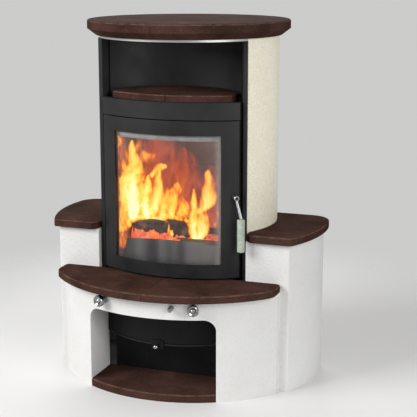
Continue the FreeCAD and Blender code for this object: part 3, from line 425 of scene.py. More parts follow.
gripSettings = {
    "green": rgb(0.34, 0.4, 0.32),
    "pale": rgb(0.5, 0.55, 0.47),
    "speck": rgb(0.24, 0.28, 0.22),
    "cloudScale": 70.0,
    "speckScale": 620.0,
}


def gripStone():
    look = gripSettings
    finish = newFinish("gripStone")
    clouds = finish.grain(look["cloudScale"], detail=5.0, rough=0.6, twist=0.6).step(0.3, 0.7)
    specks = finish.grain(look["speckScale"], detail=2.0).step(0.58, 0.72)
    colour = finish.mix(clouds, look["green"], look["pale"])
    colour = finish.mix(specks * 0.4, colour, look["speck"])
    return finish.close(finish.shader({
        "Base Color": colour,
        "Roughness": 0.3 + 0.15 * clouds,
        "Normal": finish.bump(specks, strength=0.06, distance=0.0003),
    }))


brickSettings = {
    "clay": rgb(0.3, 0.155, 0.105),
    "pale": rgb(0.42, 0.27, 0.19),
    "soot": rgb(0.035, 0.028, 0.025),
    "course": 0.124,
    "sootFoot": 0.36,
    "sootRise": 0.35,
    "cloudScale": 13.0,
    "sandScale": 520.0,
    "smokeScale": 6.0,
}


def fireBrick():
    look = brickSettings
    finish = newFinish("fireBrick")
    [height] = finish.axes("Z")
    clouds = finish.grain(look["cloudScale"], detail=6.0, rough=0.62).step(0.3, 0.7)
    sand = finish.grain(look["sandScale"], rough=0.6)
    smoke = finish.grain(look["smokeScale"], detail=5.0, rough=0.6, twist=0.7)
    sooty = (smoke + (height - look["sootFoot"]) * look["sootRise"]).step(0.46, 0.86)
    joint = abs((height / look["course"]).fraction() - 0.5).step(0.488, 0.496)
    colour = finish.mix(clouds, look["clay"], look["pale"])
    colour = finish.mix(sooty * 0.75, colour, look["soot"])
    colour = finish.mix(joint * 0.7, colour, look["soot"])
    return finish.close(finish.shader({
        "Base Color": colour,
        "Roughness": 0.82 + 0.1 * clouds,
        "Normal": finish.bump(0.5 * sand - 0.8 * joint, strength=0.35, distance=0.0012),
    }))


ironSettings = {
    "dark": rgb(0.03, 0.028, 0.027),
    "light": rgb(0.06, 0.056, 0.053),
    "rust": rgb(0.13, 0.06, 0.03),
    "sandScale": 340.0,
    "rustScale": 22.0,
}


def castIron():
    look = ironSettings
    finish = newFinish("castIron")
    sand = finish.grain(look["sandScale"], detail=4.0, rough=0.65)
    rust = finish.grain(look["rustScale"], detail=6.0, rough=0.65).step(0.52, 0.75)
    colour = finish.mix(sand, look["dark"], look["light"])
    colour = finish.mix(rust * 0.5, colour, look["rust"])
    return finish.close(finish.shader({
        "Base Color": colour,
        "Metallic": 0.35,
        "Roughness": 0.6 + 0.2 * sand,
        "Normal": finish.bump(sand, strength=0.4, distance=0.001),
    }))


sootSettings = {
    "black": rgb(0.022, 0.02, 0.019),
    "ash": rgb(0.085, 0.07, 0.06),
    "flakeScale": 85.0,
    "fineScale": 420.0,
}


def sootSteel():
    look = sootSettings
    finish = newFinish("sootSteel")
    flakes = finish.grain(look["flakeScale"], detail=6.0, rough=0.7).step(0.35, 0.7)
    fine = finish.grain(look["fineScale"])
    return finish.close(finish.shader({
        "Base Color": finish.mix(flakes, look["black"], look["ash"]),
        "Roughness": 0.7 + 0.2 * flakes,
        "Normal": finish.bump(fine, strength=0.3, distance=0.0008),
    }))


ropeSettings = {
    "dark": rgb(0.1, 0.095, 0.085),
    "pale": rgb(0.3, 0.29, 0.26),
    "strandScale": 130.0,
    "fibreScale": 900.0,
}


def ropeCord():
    look = ropeSettings
    finish = newFinish("ropeCord")
    strands = finish.node("ShaderNodeTexWave", {"bands_direction": "DIAGONAL"}, {
        "Vector": finish.place(),
        "Scale": look["strandScale"],
        "Distortion": 1.2,
        "Detail": 2.0,
    })
    fibre = finish.grain(look["fibreScale"])
    return finish.close(finish.shader({
        "Base Color": finish.mix(0.6 * strands + 0.4 * fibre, look["dark"], look["pale"]),
        "Roughness": 0.85 + 0.1 * fibre,
        "Normal": finish.bump(strands + fibre * 0.4, strength=0.5, distance=0.0012),
    }))


glassSettings = {
    "grey": rgb(0.42, 0.385, 0.37),
    "clear": rgb(0.985, 0.985, 0.98),
    "filmScale": 7.0,
    "streakScale": 30.0,
    "streakStretch": (1.0, 1.0, 0.08),
    "dustySide": (0.05, 0.15),  # from and to, across the stove
    "dustyEdge": (0.142, 0.166),
    "dustyTop": (0.62, 0.77),  # from and to, in height
}


def doorGlass():
    look = glassSettings
    finish = newFinish("doorGlass")
    across, height = finish.axes("XZ")
    film = finish.grain(look["filmScale"], detail=5.0, rough=0.6, twist=0.4).step(0.36, 0.74)
    streaks = finish.grain(look["streakScale"], detail=4.0, rough=0.6, stretch=look["streakStretch"])
    streaks = streaks.step(0.4, 0.8)
    dustySide = across.step(*look["dustySide"]) * (0.7 + 0.3 * streaks)  # ash left by the air
    dustyEdge = across.step(*look["dustyEdge"])
    dustyTop = height.step(*look["dustyTop"])
    facing = finish.node("ShaderNodeLayerWeight", {}, {"Blend": 0.5}, "Facing")
    gloss = finish.shader({
        "Base Color": look["grey"],
        "Roughness": 0.05 + 0.08 * film,
        "Specular IOR Level": 1.0,
    })
    clear = finish.node("ShaderNodeBsdfTransparent", {}, {"Color": look["clear"]})
    amount = 0.02 + 0.04 * film + 0.02 * streaks + facing * facing * facing * 0.8
    amount = amount + 0.09 * dustySide + 0.3 * dustyEdge + 0.05 * dustyTop
    return finish.close(finish.node("ShaderNodeMixShader", {}, {0: amount, 1: clear, 2: gloss}))


# a darker copy of the black paint, painted shade for the recessed pieces low down
shadedPanelSteel = blackSteel("shadedPanelSteel")
sootySteel = sootSteel()
slotFinishes = {
    "black_steel": blackSteel("blackSteel"),
    "brown_slab": brownSlab(),
    "cream_tile": creamTile(),
    "white_plaster": whitePlaster(),
    "rim_steel": rimSteel(),
    "door_glass": doorGlass(),
    "rope": ropeCord(),
    "chrome": chrome(),
    "grip_stone": gripStone(),
    "fire_brick": fireBrick(),
    "cast_iron": castIron(),
    "plain_steel": plainSteel(),
}
nodeFinishes = {  # nodes that differ from the rest of their slot
    # painted light: the niche back takes a lighter copy of the black paint
    "niche_back": blackSteel("litNicheSteel"),
    # painted shade: the recessed pieces low down take the darker copy of the black paint
    "lower_panel": shadedPanelSteel,
    "ash_drawer": shadedPanelSteel,
    "plinth": shadedPanelSteel,
    "log_guard": guardSteel(),
    "firebox": sootySteel,
    "smoke_box": sootySteel,
    "handle_boss": slotFinishes["black_steel"],
    "handle_lever": slotFinishes["plain_steel"],
    "handle_spindle": slotFinishes["black_steel"],
}


def dressNodes():
    for piece in frame["record"]["subparts"]:
        finish = nodeFinishes.get(piece["node"], slotFinishes[piece["material_slot"]])
        mesh = frame["nodes"][piece["node"]].data
        mesh.materials.clear()
        mesh.materials.append(finish)


dressNodes()
print("stove finishes on")


# Pieces made here

def newPiece(name, shape, finish, body):  # a closed piece
    bmesh.ops.remove_doubles(shape, verts=shape.verts, dist=0.00001)
    bmesh.ops.recalc_face_normals(shape, faces=shape.faces)
    return keepPiece(name, shape, finish, body)


def keepPiece(name, shape, finish, body):
    mesh = bpy.data.meshes.new(name)
    shape.to_mesh(mesh)
    shape.free()
    for face in mesh.polygons:
        face.use_smooth = True
    mesh.materials.append(finish)
    piece = bpy.data.objects.new(name, mesh)
    bpy.context.scene.collection.objects.link(piece)
    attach(piece, body)
    return piece


# Steel strip that guides air down the inside of the glass

airStripSettings = {
    "centreY": 0.16738,
    "radius": 0.3758,
    "thick": 0.0015,
    "low": 0.744,
    "high": 0.7625,
    "halfAngle": 25.8,
    "steps": 48,
    "dark": rgb(0.4, 0.41, 0.43),
    "light": rgb(0.58, 0.59, 0.61),
    "stain": rgb(0.2, 0.2, 0.215),
    "brushScale": 60.0,
    "brushStretch": (1.0, 1.0, 16.0),
    "stainScale": 17.0,
}


def stripSteel():
    look = airStripSettings
    finish = newFinish("stripSteel")
    brushed = finish.grain(look["brushScale"], detail=4.0, rough=0.6, stretch=look["brushStretch"])
    stain = finish.grain(look["stainScale"], detail=4.0, rough=0.6).step(0.4, 0.68)
    colour = finish.mix(brushed, look["dark"], look["light"])
    colour = finish.mix(stain * 0.6, colour, look["stain"])
    return finish.close(finish.shader({
        "Base Color": colour,
        "Metallic": 0.25,
        "Roughness": 0.45 + 0.2 * brushed,
        "Normal": finish.bump(brushed, strength=0.08, distance=0.0003),
    }))


def airStrip():
    sizes = airStripSettings
    shape = bmesh.new()
    bmesh.ops.create_grid(shape, x_segments=1, y_segments=1, size=0.5)
    upright = Matrix.Rotation(math.radians(90.0), 4, "Y")
    bmesh.ops.transform(shape, matrix=upright, verts=shape.verts)
    for vert in shape.verts:  # the strip's section, upright at the middle of the bow
        vert.co.x = 0.0
        vert.co.z = sizes["low"] if vert.co.z < 0 else sizes["high"]
        vert.co.y = sizes["centreY"] - sizes["radius"] + (sizes["thick"] if vert.co.y > 0 else 0.0)
    start = Matrix.Rotation(math.radians(-sizes["halfAngle"]), 4, "Z")
    middle = Matrix.Translation((0, sizes["centreY"], 0))
    bmesh.ops.transform(shape, matrix=middle @ start @ middle.inverted(), verts=shape.verts)
    bmesh.ops.spin(
        shape,
        geom=shape.faces[:] + shape.edges[:] + shape.verts[:],
        cent=(0, sizes["centreY"], 0),
        axis=(0, 0, 1),
        angle=math.radians(2.0 * sizes["halfAngle"]),
        steps=sizes["steps"],
        use_duplicate=False,
    )
    return newPiece("airStrip", shape, stripSteel(), "door")


airStrip()


# Screws that hold the rear shield to its spacers

screwSettings = {
    "angles": (150.0, 210.0),
    "levels": (0.532, 0.7386, 0.986),
    "radius": 0.272,
    "head": 0.0052,
    "tall": 0.0026,
    "segments": 20,
    "round": 0.0011,
    "roundSteps": 3,
    "rim": 0.0016,
    "recess": 0.001,
    "sunk": 0.0002,
    "near": 0.02,  # a new head lies this close to the origin before it is moved
}


def faceHeight(face):
    return face.calc_center_median().z


def screwHead(shape):  # at the origin, facing up
    sizes = screwSettings
    made = bmesh.ops.create_cone(
        shape,
        cap_ends=True,
        segments=sizes["segments"],
        radius1=sizes["head"],
        radius2=sizes["head"],
        depth=sizes["tall"],
    )["verts"]
    faces = {face for vert in made for face in vert.link_faces}
    top = max(faces, key=faceHeight)
    bmesh.ops.bevel(
        shape,
        geom=list(top.edges),
        offset=sizes["round"],
        segments=sizes["roundSteps"],
        profile=0.5,
        affect="EDGES",
        material=-1,
    )
    fresh = [face for face in shape.faces if face.calc_center_median().length < sizes["near"]]
    top = max(fresh, key=faceHeight)
    bmesh.ops.inset_region(shape, faces=[top], thickness=sizes["rim"], depth=0.0)
    bmesh.ops.translate(shape, vec=(0, 0, -sizes["recess"]), verts=top.verts)
    return [vert for vert in shape.verts if vert.co.length < sizes["near"]]


def shieldScrews():
    sizes = screwSettings
    shape = bmesh.new()
    for angle in sizes["angles"]:
        turn = math.radians(angle)
        way = Vector((math.sin(turn), -math.cos(turn), 0.0))
        facing = way.to_track_quat("Z", "Y").to_matrix().to_4x4()
        reach = sizes["radius"] + 0.5 * sizes["tall"] - sizes["sunk"]
        for level in sizes["levels"]:
            head = screwHead(shape)
            spot = Matrix.Translation(way * reach + Vector((0, 0, level)))
            bmesh.ops.transform(shape, matrix=spot @ facing, verts=head)
    return newPiece("shieldScrews", shape, slotFinishes["plain_steel"], "stove")


shieldScrews()


# Filler in the seams of the slabs that are in two halves

fillerSettings = {
    "slabs": ("left_top_plate", "left_hearth_slab", "left_niche_shelf"),
    "near": 0.003,
    "short": 0.004,
    "below": 0.0014,
    "deep": 0.01,
    "dish": 0.0004,
    "columns": 4,
    "rows": 24,
    "dark": rgb(0.012, 0.007, 0.006),
    "pale": rgb(0.036, 0.02, 0.016),
    "sandScale": 520.0,
}


def fillerGrout():
    look = fillerSettings
    finish = newFinish("seamFiller")
    sand = finish.grain(look["sandScale"], rough=0.6)
    return finish.close(finish.shader({
        "Base Color": finish.mix(sand, look["dark"], look["pale"]),
        "Roughness": 0.8 + 0.12 * sand,
        "Normal": finish.bump(sand, strength=0.3, distance=0.0005),
    }))


def seamFiller():
    sizes = fillerSettings
    shape = bmesh.new()
    for name in sizes["slabs"]:
        points = [vert.co for vert in frame["nodes"][name].data.vertices]
        half = -max(point.x for point in points)
        side = [point for point in points if point.x > -half - sizes["near"]]
        front = min(point.y for point in side) + sizes["short"]
        back = max(point.y for point in side) - sizes["short"]
        high = max(point.z for point in side) - sizes["below"]
        strip = bmesh.ops.create_grid(
            shape, x_segments=sizes["columns"], y_segments=sizes["rows"], size=0.5,
        )["verts"]
        for vert in strip:  # dished upper face of the strip
            sink = sizes["dish"] * (1.0 - 4.0 * vert.co.x ** 2)
            along = front + (vert.co.y + 0.5) * (back - front)
            vert.co = Vector((2.0 * half * vert.co.x, along, high - sink))
        faces = list({face for vert in strip for face in vert.link_faces})
        lower = bmesh.ops.extrude_face_region(shape, geom=faces)["geom"]
        sunk = [item for item in lower if isinstance(item, bmesh.types.BMVert)]
        bmesh.ops.translate(shape, vec=(0, 0, -sizes["deep"]), verts=sunk)
    return newPiece("seamFiller", shape, fillerGrout(), "stove")


seamFiller()
print("strip, screws and filler made")


# The fire: embers, logs and flames, for the eye only

emberSettings = {
    "halfWidth": 0.143,
    "front": -0.186,
    "back": 0.06,
    "low": 0.3635,
    "mound": 0.08,
    "lean": 0.36,  # higher on the left
    "bow": 0.034,
    "columns": 112,
    "rows": 92,
    "sideRim": 3.0,
    "frontRim": 2.0,
    "rimSlope": 8.0,
    "rimEdge": 0.001,
    "bigLumps": (9.0, 8.0, 1.7),  # how many across and along, and a seed
    "smallLumps": (19.0, 16.0, 5.1),
    "bigShare": 0.5,
    "smallShare": 0.6,
    "level": 0.84,
    "lumpy": 0.26,
    "coal": rgb(0.03, 0.026, 0.024),
    "ash": rgb(0.2, 0.18, 0.165),
    "crackScale": 60.0,
    "heatScale": 20.0,
    "ashScale": 70.0,
    "strength": 1.1,
    "glow": [
        (0.0, rgb(0.4, 0.03, 0.008)),
        (0.35, rgb(0.74, 0.075, 0.018)),
        (0.7, rgb(0.92, 0.16, 0.032)),
        (1.0, rgb(1.0, 0.36, 0.08)),
    ],
}


def emberFinish():
    look = emberSettings
    finish = newFinish("embers")
    cracks = finish.cells(look["crackScale"]).step(0.0, 0.3, 1.0, 0.0)
    heat = finish.grain(look["heatScale"], detail=4.0, rough=0.6).step(0.28, 0.66)
    ash = finish.grain(look["ashScale"], detail=4.0).step(0.45, 0.7)
    return finish.close(finish.shader({
        "Base Color": finish.mix(ash, look["coal"], look["ash"]),
        "Roughness": 0.8 + 0.15 * ash,
        "Emission Color": finish.ramp(cracks * 0.22 + heat * 0.7, look["glow"]),
        "Emission Strength": look["strength"],
        "Normal": finish.bump(cracks, strength=0.4, distance=0.002),
    }))


def emberLump(across, along):
    sizes = emberSettings
    bigX, bigY, bigSeed = sizes["bigLumps"]
    smallX, smallY, smallSeed = sizes["smallLumps"]
    big = noise.noise((across * bigX, along * bigY, bigSeed))
    small = noise.noise((across * smallX, along * smallY, smallSeed))
    return big * sizes["bigShare"] + sizes["smallShare"] * abs(small)


def emberBed():
    sizes = emberSettings
    shape = bmesh.new()
    bmesh.ops.create_grid(shape, x_segments=sizes["columns"], y_segments=sizes["rows"], size=0.5)
    for vert in shape.verts:
        across = 2.0 * vert.co.x
        along = vert.co.y + 0.5
        rim = min(sizes["sideRim"] * (1.0 - abs(across)), sizes["frontRim"] * along, 1.0 - along)
        lean = 1.0 - sizes["lean"] * across
        rough = sizes["level"] + sizes["lumpy"] * emberLump(across, along)
        rise = sizes["mound"] * lean * min(1.0, rim * sizes["rimSlope"]) * rough
        if rim < sizes["rimEdge"]:
            rise = 0.0
        y = sizes["front"] + along * (sizes["back"] - sizes["front"]) + sizes["bow"] * across * across
        vert.co = Vector((across * sizes["halfWidth"], y, sizes["low"] + rise))
    return keepPiece("emberBed", shape, emberFinish(), "stove")


logSettings = [
    {
        "name": "frontLog", "from": (-0.136, -0.124, 0.453), "to": (0.072, -0.052, 0.452),
        "wide": 0.046, "tall": 0.058, "round": 0.008, "roll": 4.0, "seed": 3,
    },
    {
        "name": "rearLog", "from": (-0.134, 0.03, 0.44), "to": (0.138, 0.012, 0.442),
        "wide": 0.062, "tall": 0.056, "round": 0.014, "roll": -22.0, "seed": 8,
    },
    {
        "name": "topLog", "from": (-0.01, -0.136, 0.412), "to": (0.138, -0.118, 0.408),
        "wide": 0.044, "tall": 0.04, "round": 0.01, "roll": 12.0, "seed": 14,
    },
]
barkSettings = {  # what the logs have in common
    "roundSteps": 4,
    "cuts": 34,
    "endRim": 0.004,
    "endStep": 0.0015,
    "waveScale": 22.0,
    "waves": 0.0015,
    "knotScale": 80.0,
    "knots": 0.0011,
    "raggedScale": 0.7,
    "ragged": 0.003,
    "seedShift": 3.1,
    "char": rgb(0.012, 0.01, 0.01),
    "brown": rgb(0.075, 0.058, 0.05),
    "ash": rgb(0.2, 0.18, 0.17),
    "cold": rgb(0.0, 0.0, 0.0),
    "hot": rgb(0.7, 0.1, 0.012),
    "barkScale": 20.0,
    "barkStretch": (0.5, 2.2, 2.2),
    "blockScale": 62.0,
    "blockStretch": (0.6, 1.4, 1.4),
    "ashScale": 38.0,
    "heatScale": 15.0,
}


def charFinish():
    look = barkSettings
    finish = newFinish("charredWood")
    bark = finish.grain(look["barkScale"], detail=6.0, rough=0.68, twist=0.6, stretch=look["barkStretch"])
    cracks = finish.cells(look["blockScale"], look["blockStretch"]).step(0.0, 0.05, 1.0, 0.0)
    ash = finish.grain(look["ashScale"], detail=5.0, rough=0.6).step(0.5, 0.72)
    heat = finish.grain(look["heatScale"]).step(0.5, 0.74)
    colour = finish.mix(bark.step(0.3, 0.7), look["char"], look["brown"])
    colour = finish.mix(ash * 0.6, colour, look["ash"])
    return finish.close(finish.shader({
        "Base Color": colour,
        "Roughness": 0.78 + 0.16 * bark,
        "Emission Color": finish.mix(cracks * heat, look["cold"], look["hot"]),
        "Emission Strength": 1.0,
        "Normal": finish.bump(bark - 0.5 * cracks, strength=0.7, distance=0.003),
    }))


def longEdges(shape, long):
    return [edge for edge in shape.edges if abs(edge.verts[0].co.z - edge.verts[1].co.z) > 0.5 * long]


def splitLog(settings, finish):
    bark = barkSettings
    start = Vector(settings["from"])
    end = Vector(settings["to"])
    way = end - start
    long = way.length
    shape = bmesh.new()
    bmesh.ops.create_cube(shape, size=1.0)
    bmesh.ops.scale(shape, vec=(settings["wide"], settings["tall"], long), verts=shape.verts)
    bmesh.ops.bevel(
        shape,
        geom=longEdges(shape, long),
        offset=settings["round"],
        segments=bark["roundSteps"],
        profile=0.5,
        affect="EDGES",
        material=-1,
    )
    bmesh.ops.subdivide_edges(shape, edges=longEdges(shape, long), cuts=bark["cuts"], use_grid_fill=True)
    ends = [face for face in shape.faces if abs(face.normal.z) > 0.9]
    bmesh.ops.inset_individual(shape, faces=ends, thickness=bark["endRim"], depth=bark["endStep"])
    for vert in shape.verts:  # split wood is uneven along its length
        spot = vert.co * bark["waveScale"] + Vector((settings["seed"] * bark["seedShift"], 0.0, 0.0))
        knot = noise.noise(vert.co * bark["knotScale"])
        push = bark["waves"] * noise.noise(spot) + bark["knots"] * knot
        flat = Vector((vert.co.x, vert.co.y, 0.0))
        vert.co += flat.normalized() * push
        vert.co.z += bark["ragged"] * noise.noise(spot * bark["raggedScale"])
    facing = way.to_track_quat("Z", "Y").to_matrix().to_4x4()
    turn = Matrix.Rotation(math.radians(settings["roll"]), 4, "Z")
    middle = Matrix.Translation((start + end) / 2.0)
    bmesh.ops.transform(shape, matrix=middle @ facing @ turn, verts=shape.verts)
    return newPiece(settings["name"], shape, finish, "stove")


# each tongue, as it shows on the glass: foot x and z, tip x and z, half width, bend, heat
tongueSettings = [
    (-0.158, 0.46, -0.164, 0.8, 0.028, 0.004, 0.62),
    (-0.157, 0.4, -0.161, 0.48, 0.022, 0.0, 0.48),
    (-0.12, 0.512, -0.126, 0.66, 0.042, 0.004, 1.16),
    (-0.138, 0.478, -0.134, 0.53, 0.026, 0.0, 0.72),
    (-0.122, 0.58, -0.108, 0.735, 0.03, 0.008, 1.02),
    (-0.148, 0.52, -0.152, 0.72, 0.024, -0.004, 0.74),
    (-0.1, 0.655, -0.034, 0.716, 0.022, -0.012, 0.66),
    (-0.1, 0.69, -0.075, 0.75, 0.026, -0.006, 0.44),
    (-0.066, 0.512, -0.068, 0.638, 0.032, -0.006, 1.08),
    (-0.046, 0.52, -0.012, 0.66, 0.024, 0.006, 0.92),
    (-0.046, 0.64, 0.014, 0.682, 0.016, -0.01, 0.78),
    (-0.012, 0.52, 0.0, 0.59, 0.024, 0.006, 0.74),
    (0.018, 0.515, 0.034, 0.628, 0.024, -0.006, 0.78),
    (0.05, 0.525, 0.054, 0.58, 0.02, 0.006, 0.66),
    (-0.096, 0.506, 0.078, 0.512, 0.017, 0.0, 0.86),
    (0.0, 0.45, -0.002, 0.5, 0.008, 0.002, 0.62),
    (0.012, 0.448, 0.02, 0.462, 0.012, 0.0, 0.7),
    (0.106, 0.436, 0.082, 0.602, 0.02, -0.01, 1.04),
    (0.104, 0.442, 0.12, 0.55, 0.015, 0.008, 0.94),
    (0.108, 0.54, 0.144, 0.66, 0.018, 0.014, 0.82),
    (0.152, 0.5, 0.156, 0.59, 0.012, 0.003, 0.44),
]
# the same for the red haze behind the tongues
hazeTongues = [
    (-0.11, 0.42, -0.09, 0.78, 0.11, 0.0, 0.95),
    (-0.01, 0.42, -0.02, 0.7, 0.1, 0.0, 0.98),
    (0.07, 0.42, 0.08, 0.64, 0.1, 0.0, 0.8),
]
tongueShape = {
    "belly": 0.4,  # share of the length where a tongue is widest
    "footWidth": 0.55,
    "swell": 0.9,
    "bellyWidth": 0.9084,
    "taper": 0.6,
    "tipWidth": 0.06,
    "bendTurns": 1.5,
    "cooling": 0.35,
    "soft": 0.62,
}
stirSettings = {  # how the air stirs the tongues
    "broad": (26.0, 13.0, 4.3),  # how close across and in height, and a seed
    "narrow": (72.0, 34.0, 9.1),
    "broadSide": 0.013,
    "narrowSide": 0.0045,
    "broadRise": 0.016,
    "riseShift": (7.7, 3.1, 0.0),
}
clearWarmth = 0.02  # below this the fire is quite clear
curtainSettings = {
    "bowCentreY": 0.16738,
    "bowRadius": 0.3665,
    "left": -0.172,
    "right": 0.146,
    "low": 0.368,
    "high": 0.785,
    "gap": 0.001,
    "deep": 0.085,
    "leftFrom": -0.147,  # the curtain leaves the glass from here
    "leftOver": 0.07,
    "rightTo": 0.17,  # and comes back towards it here
    "rightOver": 0.1,
    "rightShare": 0.15,
    "sideShift": 0.42,
    "heightShift": 0.22,
    "columns": 150,
    "rows": 180,
    "lickScale": 26.0,
    "lickStretch": (1.0, 0.3, 0.55),
    "lickShare": 0.7,
    "wispScale": 66.0,
    "wispStretch": (1.0, 0.3, 0.42),
    "wispShare": 0.42,
    "strength": 1.3,
    "colours": [
        (0.14, rgb(0.42, 0.03, 0.006)),
        (0.34, rgb(0.86, 0.13, 0.014)),
        (0.5, rgb(1.0, 0.3, 0.022)),
        (0.66, rgb(1.0, 0.52, 0.05)),
        (0.82, rgb(1.0, 0.76, 0.16)),
        (1.0, rgb(1.0, 0.93, 0.5)),
    ],
}
hazeSettings = {
    "y": -0.012,
    "bow": 0.5,
    "half": 0.143,
    "low": 0.4,
    "high": 0.735,
    "columns": 90,
    "rows": 96,
    "driftScale": 24.0,
    "driftStretch": (1.0, 0.3, 0.5),
    "driftShare": 1.1,
    "thickest": 0.85,
    "strength": 0.9,
    "colours": [
        (0.1, rgb(0.26, 0.03, 0.018)),
        (0.5, rgb(0.5, 0.06, 0.028)),
        (0.8, rgb(0.74, 0.115, 0.032)),
        (1.0, rgb(0.95, 0.25, 0.04)),
    ],
}


def glowShader(finish, look, hot, alpha):  # light alone, with no surface of its own
    return finish.shader({
        "Base Color": rgb(0.0, 0.0, 0.0),
        "Roughness": 1.0,
        "Specular IOR Level": 0.0,
        "Emission Color": finish.ramp(hot, look["colours"]),
        "Emission Strength": look["strength"],
        "Alpha": alpha,
    })


def flameFinish():
    look = curtainSettings
    finish = newFinish("flames")
    warmth = finish.attribute("warmth")
    licks = finish.grain(look["lickScale"], detail=2.0, rough=0.5, twist=1.1, stretch=look["lickStretch"])
    wisps = finish.grain(look["wispScale"], twist=1.2, stretch=look["wispStretch"])
    hot = warmth + (licks - 0.5) * look["lickShare"] + (wisps - 0.5) * look["wispShare"]
    alpha = hot.step(0.2, 0.62) * warmth.step(clearWarmth, 0.3)
    return finish.close(glowShader(finish, look, hot, alpha))


def hazeFinish():
    look = hazeSettings
    finish = newFinish("flameHaze")
    warmth = finish.attribute("warmth")
    drift = finish.grain(look["driftScale"], detail=4.0, rough=0.58, twist=1.0, stretch=look["driftStretch"])
    hot = warmth + (drift - 0.5) * look["driftShare"]
    alpha = hot.step(0.1, 0.9) * warmth.step(clearWarmth, 0.5) * look["thickest"]
    return finish.close(glowShader(finish, look, hot, alpha))


def clamp(value):
    return max(0.0, min(1.0, value))


def stirred(x, z):
    stir = stirSettings
    broadX, broadZ, broadSeed = stir["broad"]
    narrowX, narrowZ, narrowSeed = stir["narrow"]
    broad = Vector((x * broadX, z * broadZ, broadSeed))
    narrow = Vector((x * narrowX, z * narrowZ, narrowSeed))
    side = stir["broadSide"] * noise.noise(broad) + stir["narrowSide"] * noise.noise(narrow)
    rise = stir["broadRise"] * noise.noise(broad + Vector(stir["riseShift"]))
    return x + side, z + rise


def tongueWidth(t):  # swells from the foot to the belly, then tapers to the tip
    form = tongueShape
    if t < form["belly"]:
        return form["footWidth"] + form["swell"] * t
    left = 1.0 - (t - form["belly"]) / (1.0 - form["belly"])
    return form["bellyWidth"] * left ** form["taper"] + form["tipWidth"]


def warmthAt(x, z, tongues):
    form = tongueShape
    x, z = stirred(x, z)
    most = 0.0
    for footX, footZ, tipX, tipZ, half, bend, heat in tongues:
        alongX = tipX - footX
        alongZ = tipZ - footZ
        t = clamp(((x - footX) * alongX + (z - footZ) * alongZ) / (alongX ** 2 + alongZ ** 2))
        middleX = footX + alongX * t + bend * math.sin(math.pi * form["bendTurns"] * t)
        middleZ = footZ + alongZ * t
        apart = math.hypot(x - middleX, z - middleZ) / (half * tongueWidth(t))
        fade = 1.0 - min(1.0, form["soft"] * apart) ** 2
        most = max(most, heat * (1.0 - form["cooling"] * t) * fade)
    return most


def trimSheet(shape, warmthLayer):  # leaves only the faces where fire shows
    clear = [face for face in shape.faces if max(vert[warmthLayer] for vert in face.verts) < clearWarmth]
    bmesh.ops.delete(shape, geom=clear, context="FACES")


def flames():
    sizes = curtainSettings
    shape = bmesh.new()
    warmthLayer = shape.verts.layers.float.new("warmth")
    bmesh.ops.create_grid(shape, x_segments=sizes["columns"], y_segments=sizes["rows"], size=0.5)
    for vert in shape.verts:
        x = sizes["left"] + (vert.co.x + 0.5) * (sizes["right"] - sizes["left"])
        z = sizes["low"] + (vert.co.y + 0.5) * (sizes["high"] - sizes["low"])
        inward = clamp((x - sizes["leftFrom"]) / sizes["leftOver"])
        outward = clamp((sizes["rightTo"] - x) / sizes["rightOver"])
        eased = inward * inward * (3.0 - 2.0 * inward)
        share = sizes["rightShare"] + (1.0 - sizes["rightShare"]) * outward
        depth = sizes["gap"] + sizes["deep"] * eased * share
        y = sizes["bowCentreY"] - math.sqrt(sizes["bowRadius"] ** 2 - x ** 2) + depth
        seenX = x + sizes["sideShift"] * depth  # where the point shows on the glass
        seenZ = z + sizes["heightShift"] * depth
        vert[warmthLayer] = warmthAt(seenX, seenZ, tongueSettings)
        vert.co = Vector((x, y, z))
    trimSheet(shape, warmthLayer)
    return keepPiece("flames", shape, flameFinish(), "stove")


def flameHaze():
    sizes = hazeSettings
    shape = bmesh.new()
    warmthLayer = shape.verts.layers.float.new("warmth")
    bmesh.ops.create_grid(shape, x_segments=sizes["columns"], y_segments=sizes["rows"], size=0.5)
    for vert in shape.verts:
        x = 2.0 * sizes["half"] * vert.co.x
        z = sizes["low"] + (vert.co.y + 0.5) * (sizes["high"] - sizes["low"])
        vert[warmthLayer] = warmthAt(x, z, hazeTongues)
        vert.co = Vector((x, sizes["y"] - sizes["bow"] * x * x, z))
    trimSheet(shape, warmthLayer)
    return keepPiece("flameHaze", shape, hazeFinish(), "stove")


emberBed()
charred = charFinish()
for settings in logSettings:
    splitLog(settings, charred)
flames()
flameHaze()
print("fire laid")


# Floor, light and camera

floorSettings = {
    "radius": 4.2,
    "segments": 96,
    "colour": rgb(0.8, 0.795, 0.785),
    "shade": rgb(0.74, 0.735, 0.725),
    "grainScale": 120.0,
    "fadeFrom": 0.75,
    "fadeTo": 1.75,
}


def floorFinish():
    look = floorSettings
    finish = newFinish("paleFloor")
    x, y = finish.axes("XY")
    gone = (x * x + y * y).root().step(look["fadeFrom"], look["fadeTo"])
    fine = finish.grain(look["grainScale"])
    colour = finish.mix(fine * 0.25, look["colour"], look["shade"])
    solid = finish.shader({"Base Color": colour, "Roughness": 0.6 + 0.1 * fine})
    clear = finish.node("ShaderNodeBsdfTransparent")
    return finish.close(finish.node("ShaderNodeMixShader", {}, {0: gone, 1: solid, 2: clear}))


def floor():
    sizes = floorSettings
    shape = bmesh.new()
    bmesh.ops.create_circle(shape, cap_ends=True, segments=sizes["segments"], radius=sizes["radius"])
    mesh = bpy.data.meshes.new("floor")
    shape.to_mesh(mesh)
    shape.free()
    mesh.materials.append(floorFinish())
    piece = bpy.data.objects.new("floor", mesh)
    bpy.context.scene.collection.objects.link(piece)


worldSettings = {"backdrop": rgb(0.6, 0.6, 0.595), "room": rgb(1.0, 1.0, 1.0), "roomStrength": 0.34}


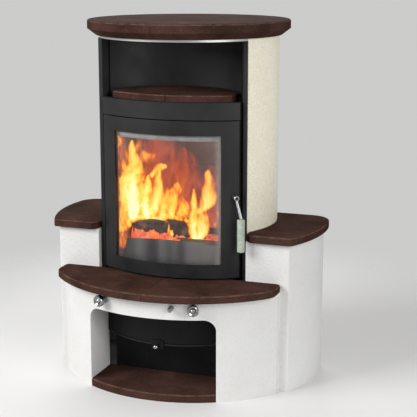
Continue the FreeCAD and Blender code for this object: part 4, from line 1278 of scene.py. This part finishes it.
def room():
    look = worldSettings
    world = bpy.data.worlds.new("room")
    bpy.context.scene.world = world
    finish = Finish(world)
    path = finish.node("ShaderNodeLightPath").socket.node.outputs
    seen = Wire(finish, path["Is Camera Ray"])
    glossy = Wire(finish, path["Is Glossy Ray"])
    through = Wire(finish, path["Is Transmission Ray"])
    wall = finish.node("ShaderNodeBackground", {}, {0: look["backdrop"], 1: 1.0})
    fill = finish.node("ShaderNodeBackground", {}, {0: look["room"], 1: look["roomStrength"]})
    plain = seen.larger(glossy).larger(through)
    surface = finish.node("ShaderNodeMixShader", {}, {0: plain, 1: fill, 2: wall})
    finish.close(surface, "ShaderNodeOutputWorld")


lampSettings = [
    {"name": "keyLamp", "at": (-2.3, -2.6, 2.4), "aim": (0.0, 0.0, 0.5), "size": 2.0, "power": 125.0},
    {"name": "sideLamp", "at": (2.4, -1.8, 1.5), "aim": (0.1, 0.0, 0.85), "size": 1.6, "power": 42.0},
    {"name": "topLamp", "at": (0.2, 0.4, 3.4), "aim": (0.0, 0.0, 0.5), "size": 2.0, "power": 9.0},
    {"name": "backLamp", "at": (-1.2, 2.9, 0.95), "aim": (0.0, 0.0, 0.6), "size": 1.8, "power": 30.0},
]


def lamps():
    for settings in lampSettings:
        light = bpy.data.lights.new(settings["name"], "AREA")
        light.shape = "SQUARE"
        light.size = settings["size"]
        light.energy = settings["power"]
        lamp = bpy.data.objects.new(settings["name"], light)
        lamp.location = settings["at"]
        aim = Vector(settings["aim"]) - Vector(settings["at"])
        lamp.rotation_euler = aim.to_track_quat("-Z", "Y").to_euler()
        bpy.context.scene.collection.objects.link(lamp)


cameraSettings = {
    "at": (1.2426, -3.2718, 1.2684),
    "pitch": 12.41,
    "heading": 19.84,
    "lens": 98.97,
    "sensor": 36.0,
    "farthest": 60.0,
}


def camera():
    settings = cameraSettings
    view = bpy.data.cameras.new("camera")
    view.lens = settings["lens"]
    view.sensor_width = settings["sensor"]
    view.clip_end = settings["farthest"]
    eye = bpy.data.objects.new("camera", view)
    eye.location = settings["at"]
    eye.rotation_euler = (math.radians(90.0 - settings["pitch"]), 0.0, math.radians(settings["heading"]))
    bpy.context.scene.collection.objects.link(eye)
    bpy.context.scene.camera = eye


floor()
room()
lamps()
camera()
bpy.context.scene.view_settings.view_transform = "Standard"
print("floor, light and camera set")
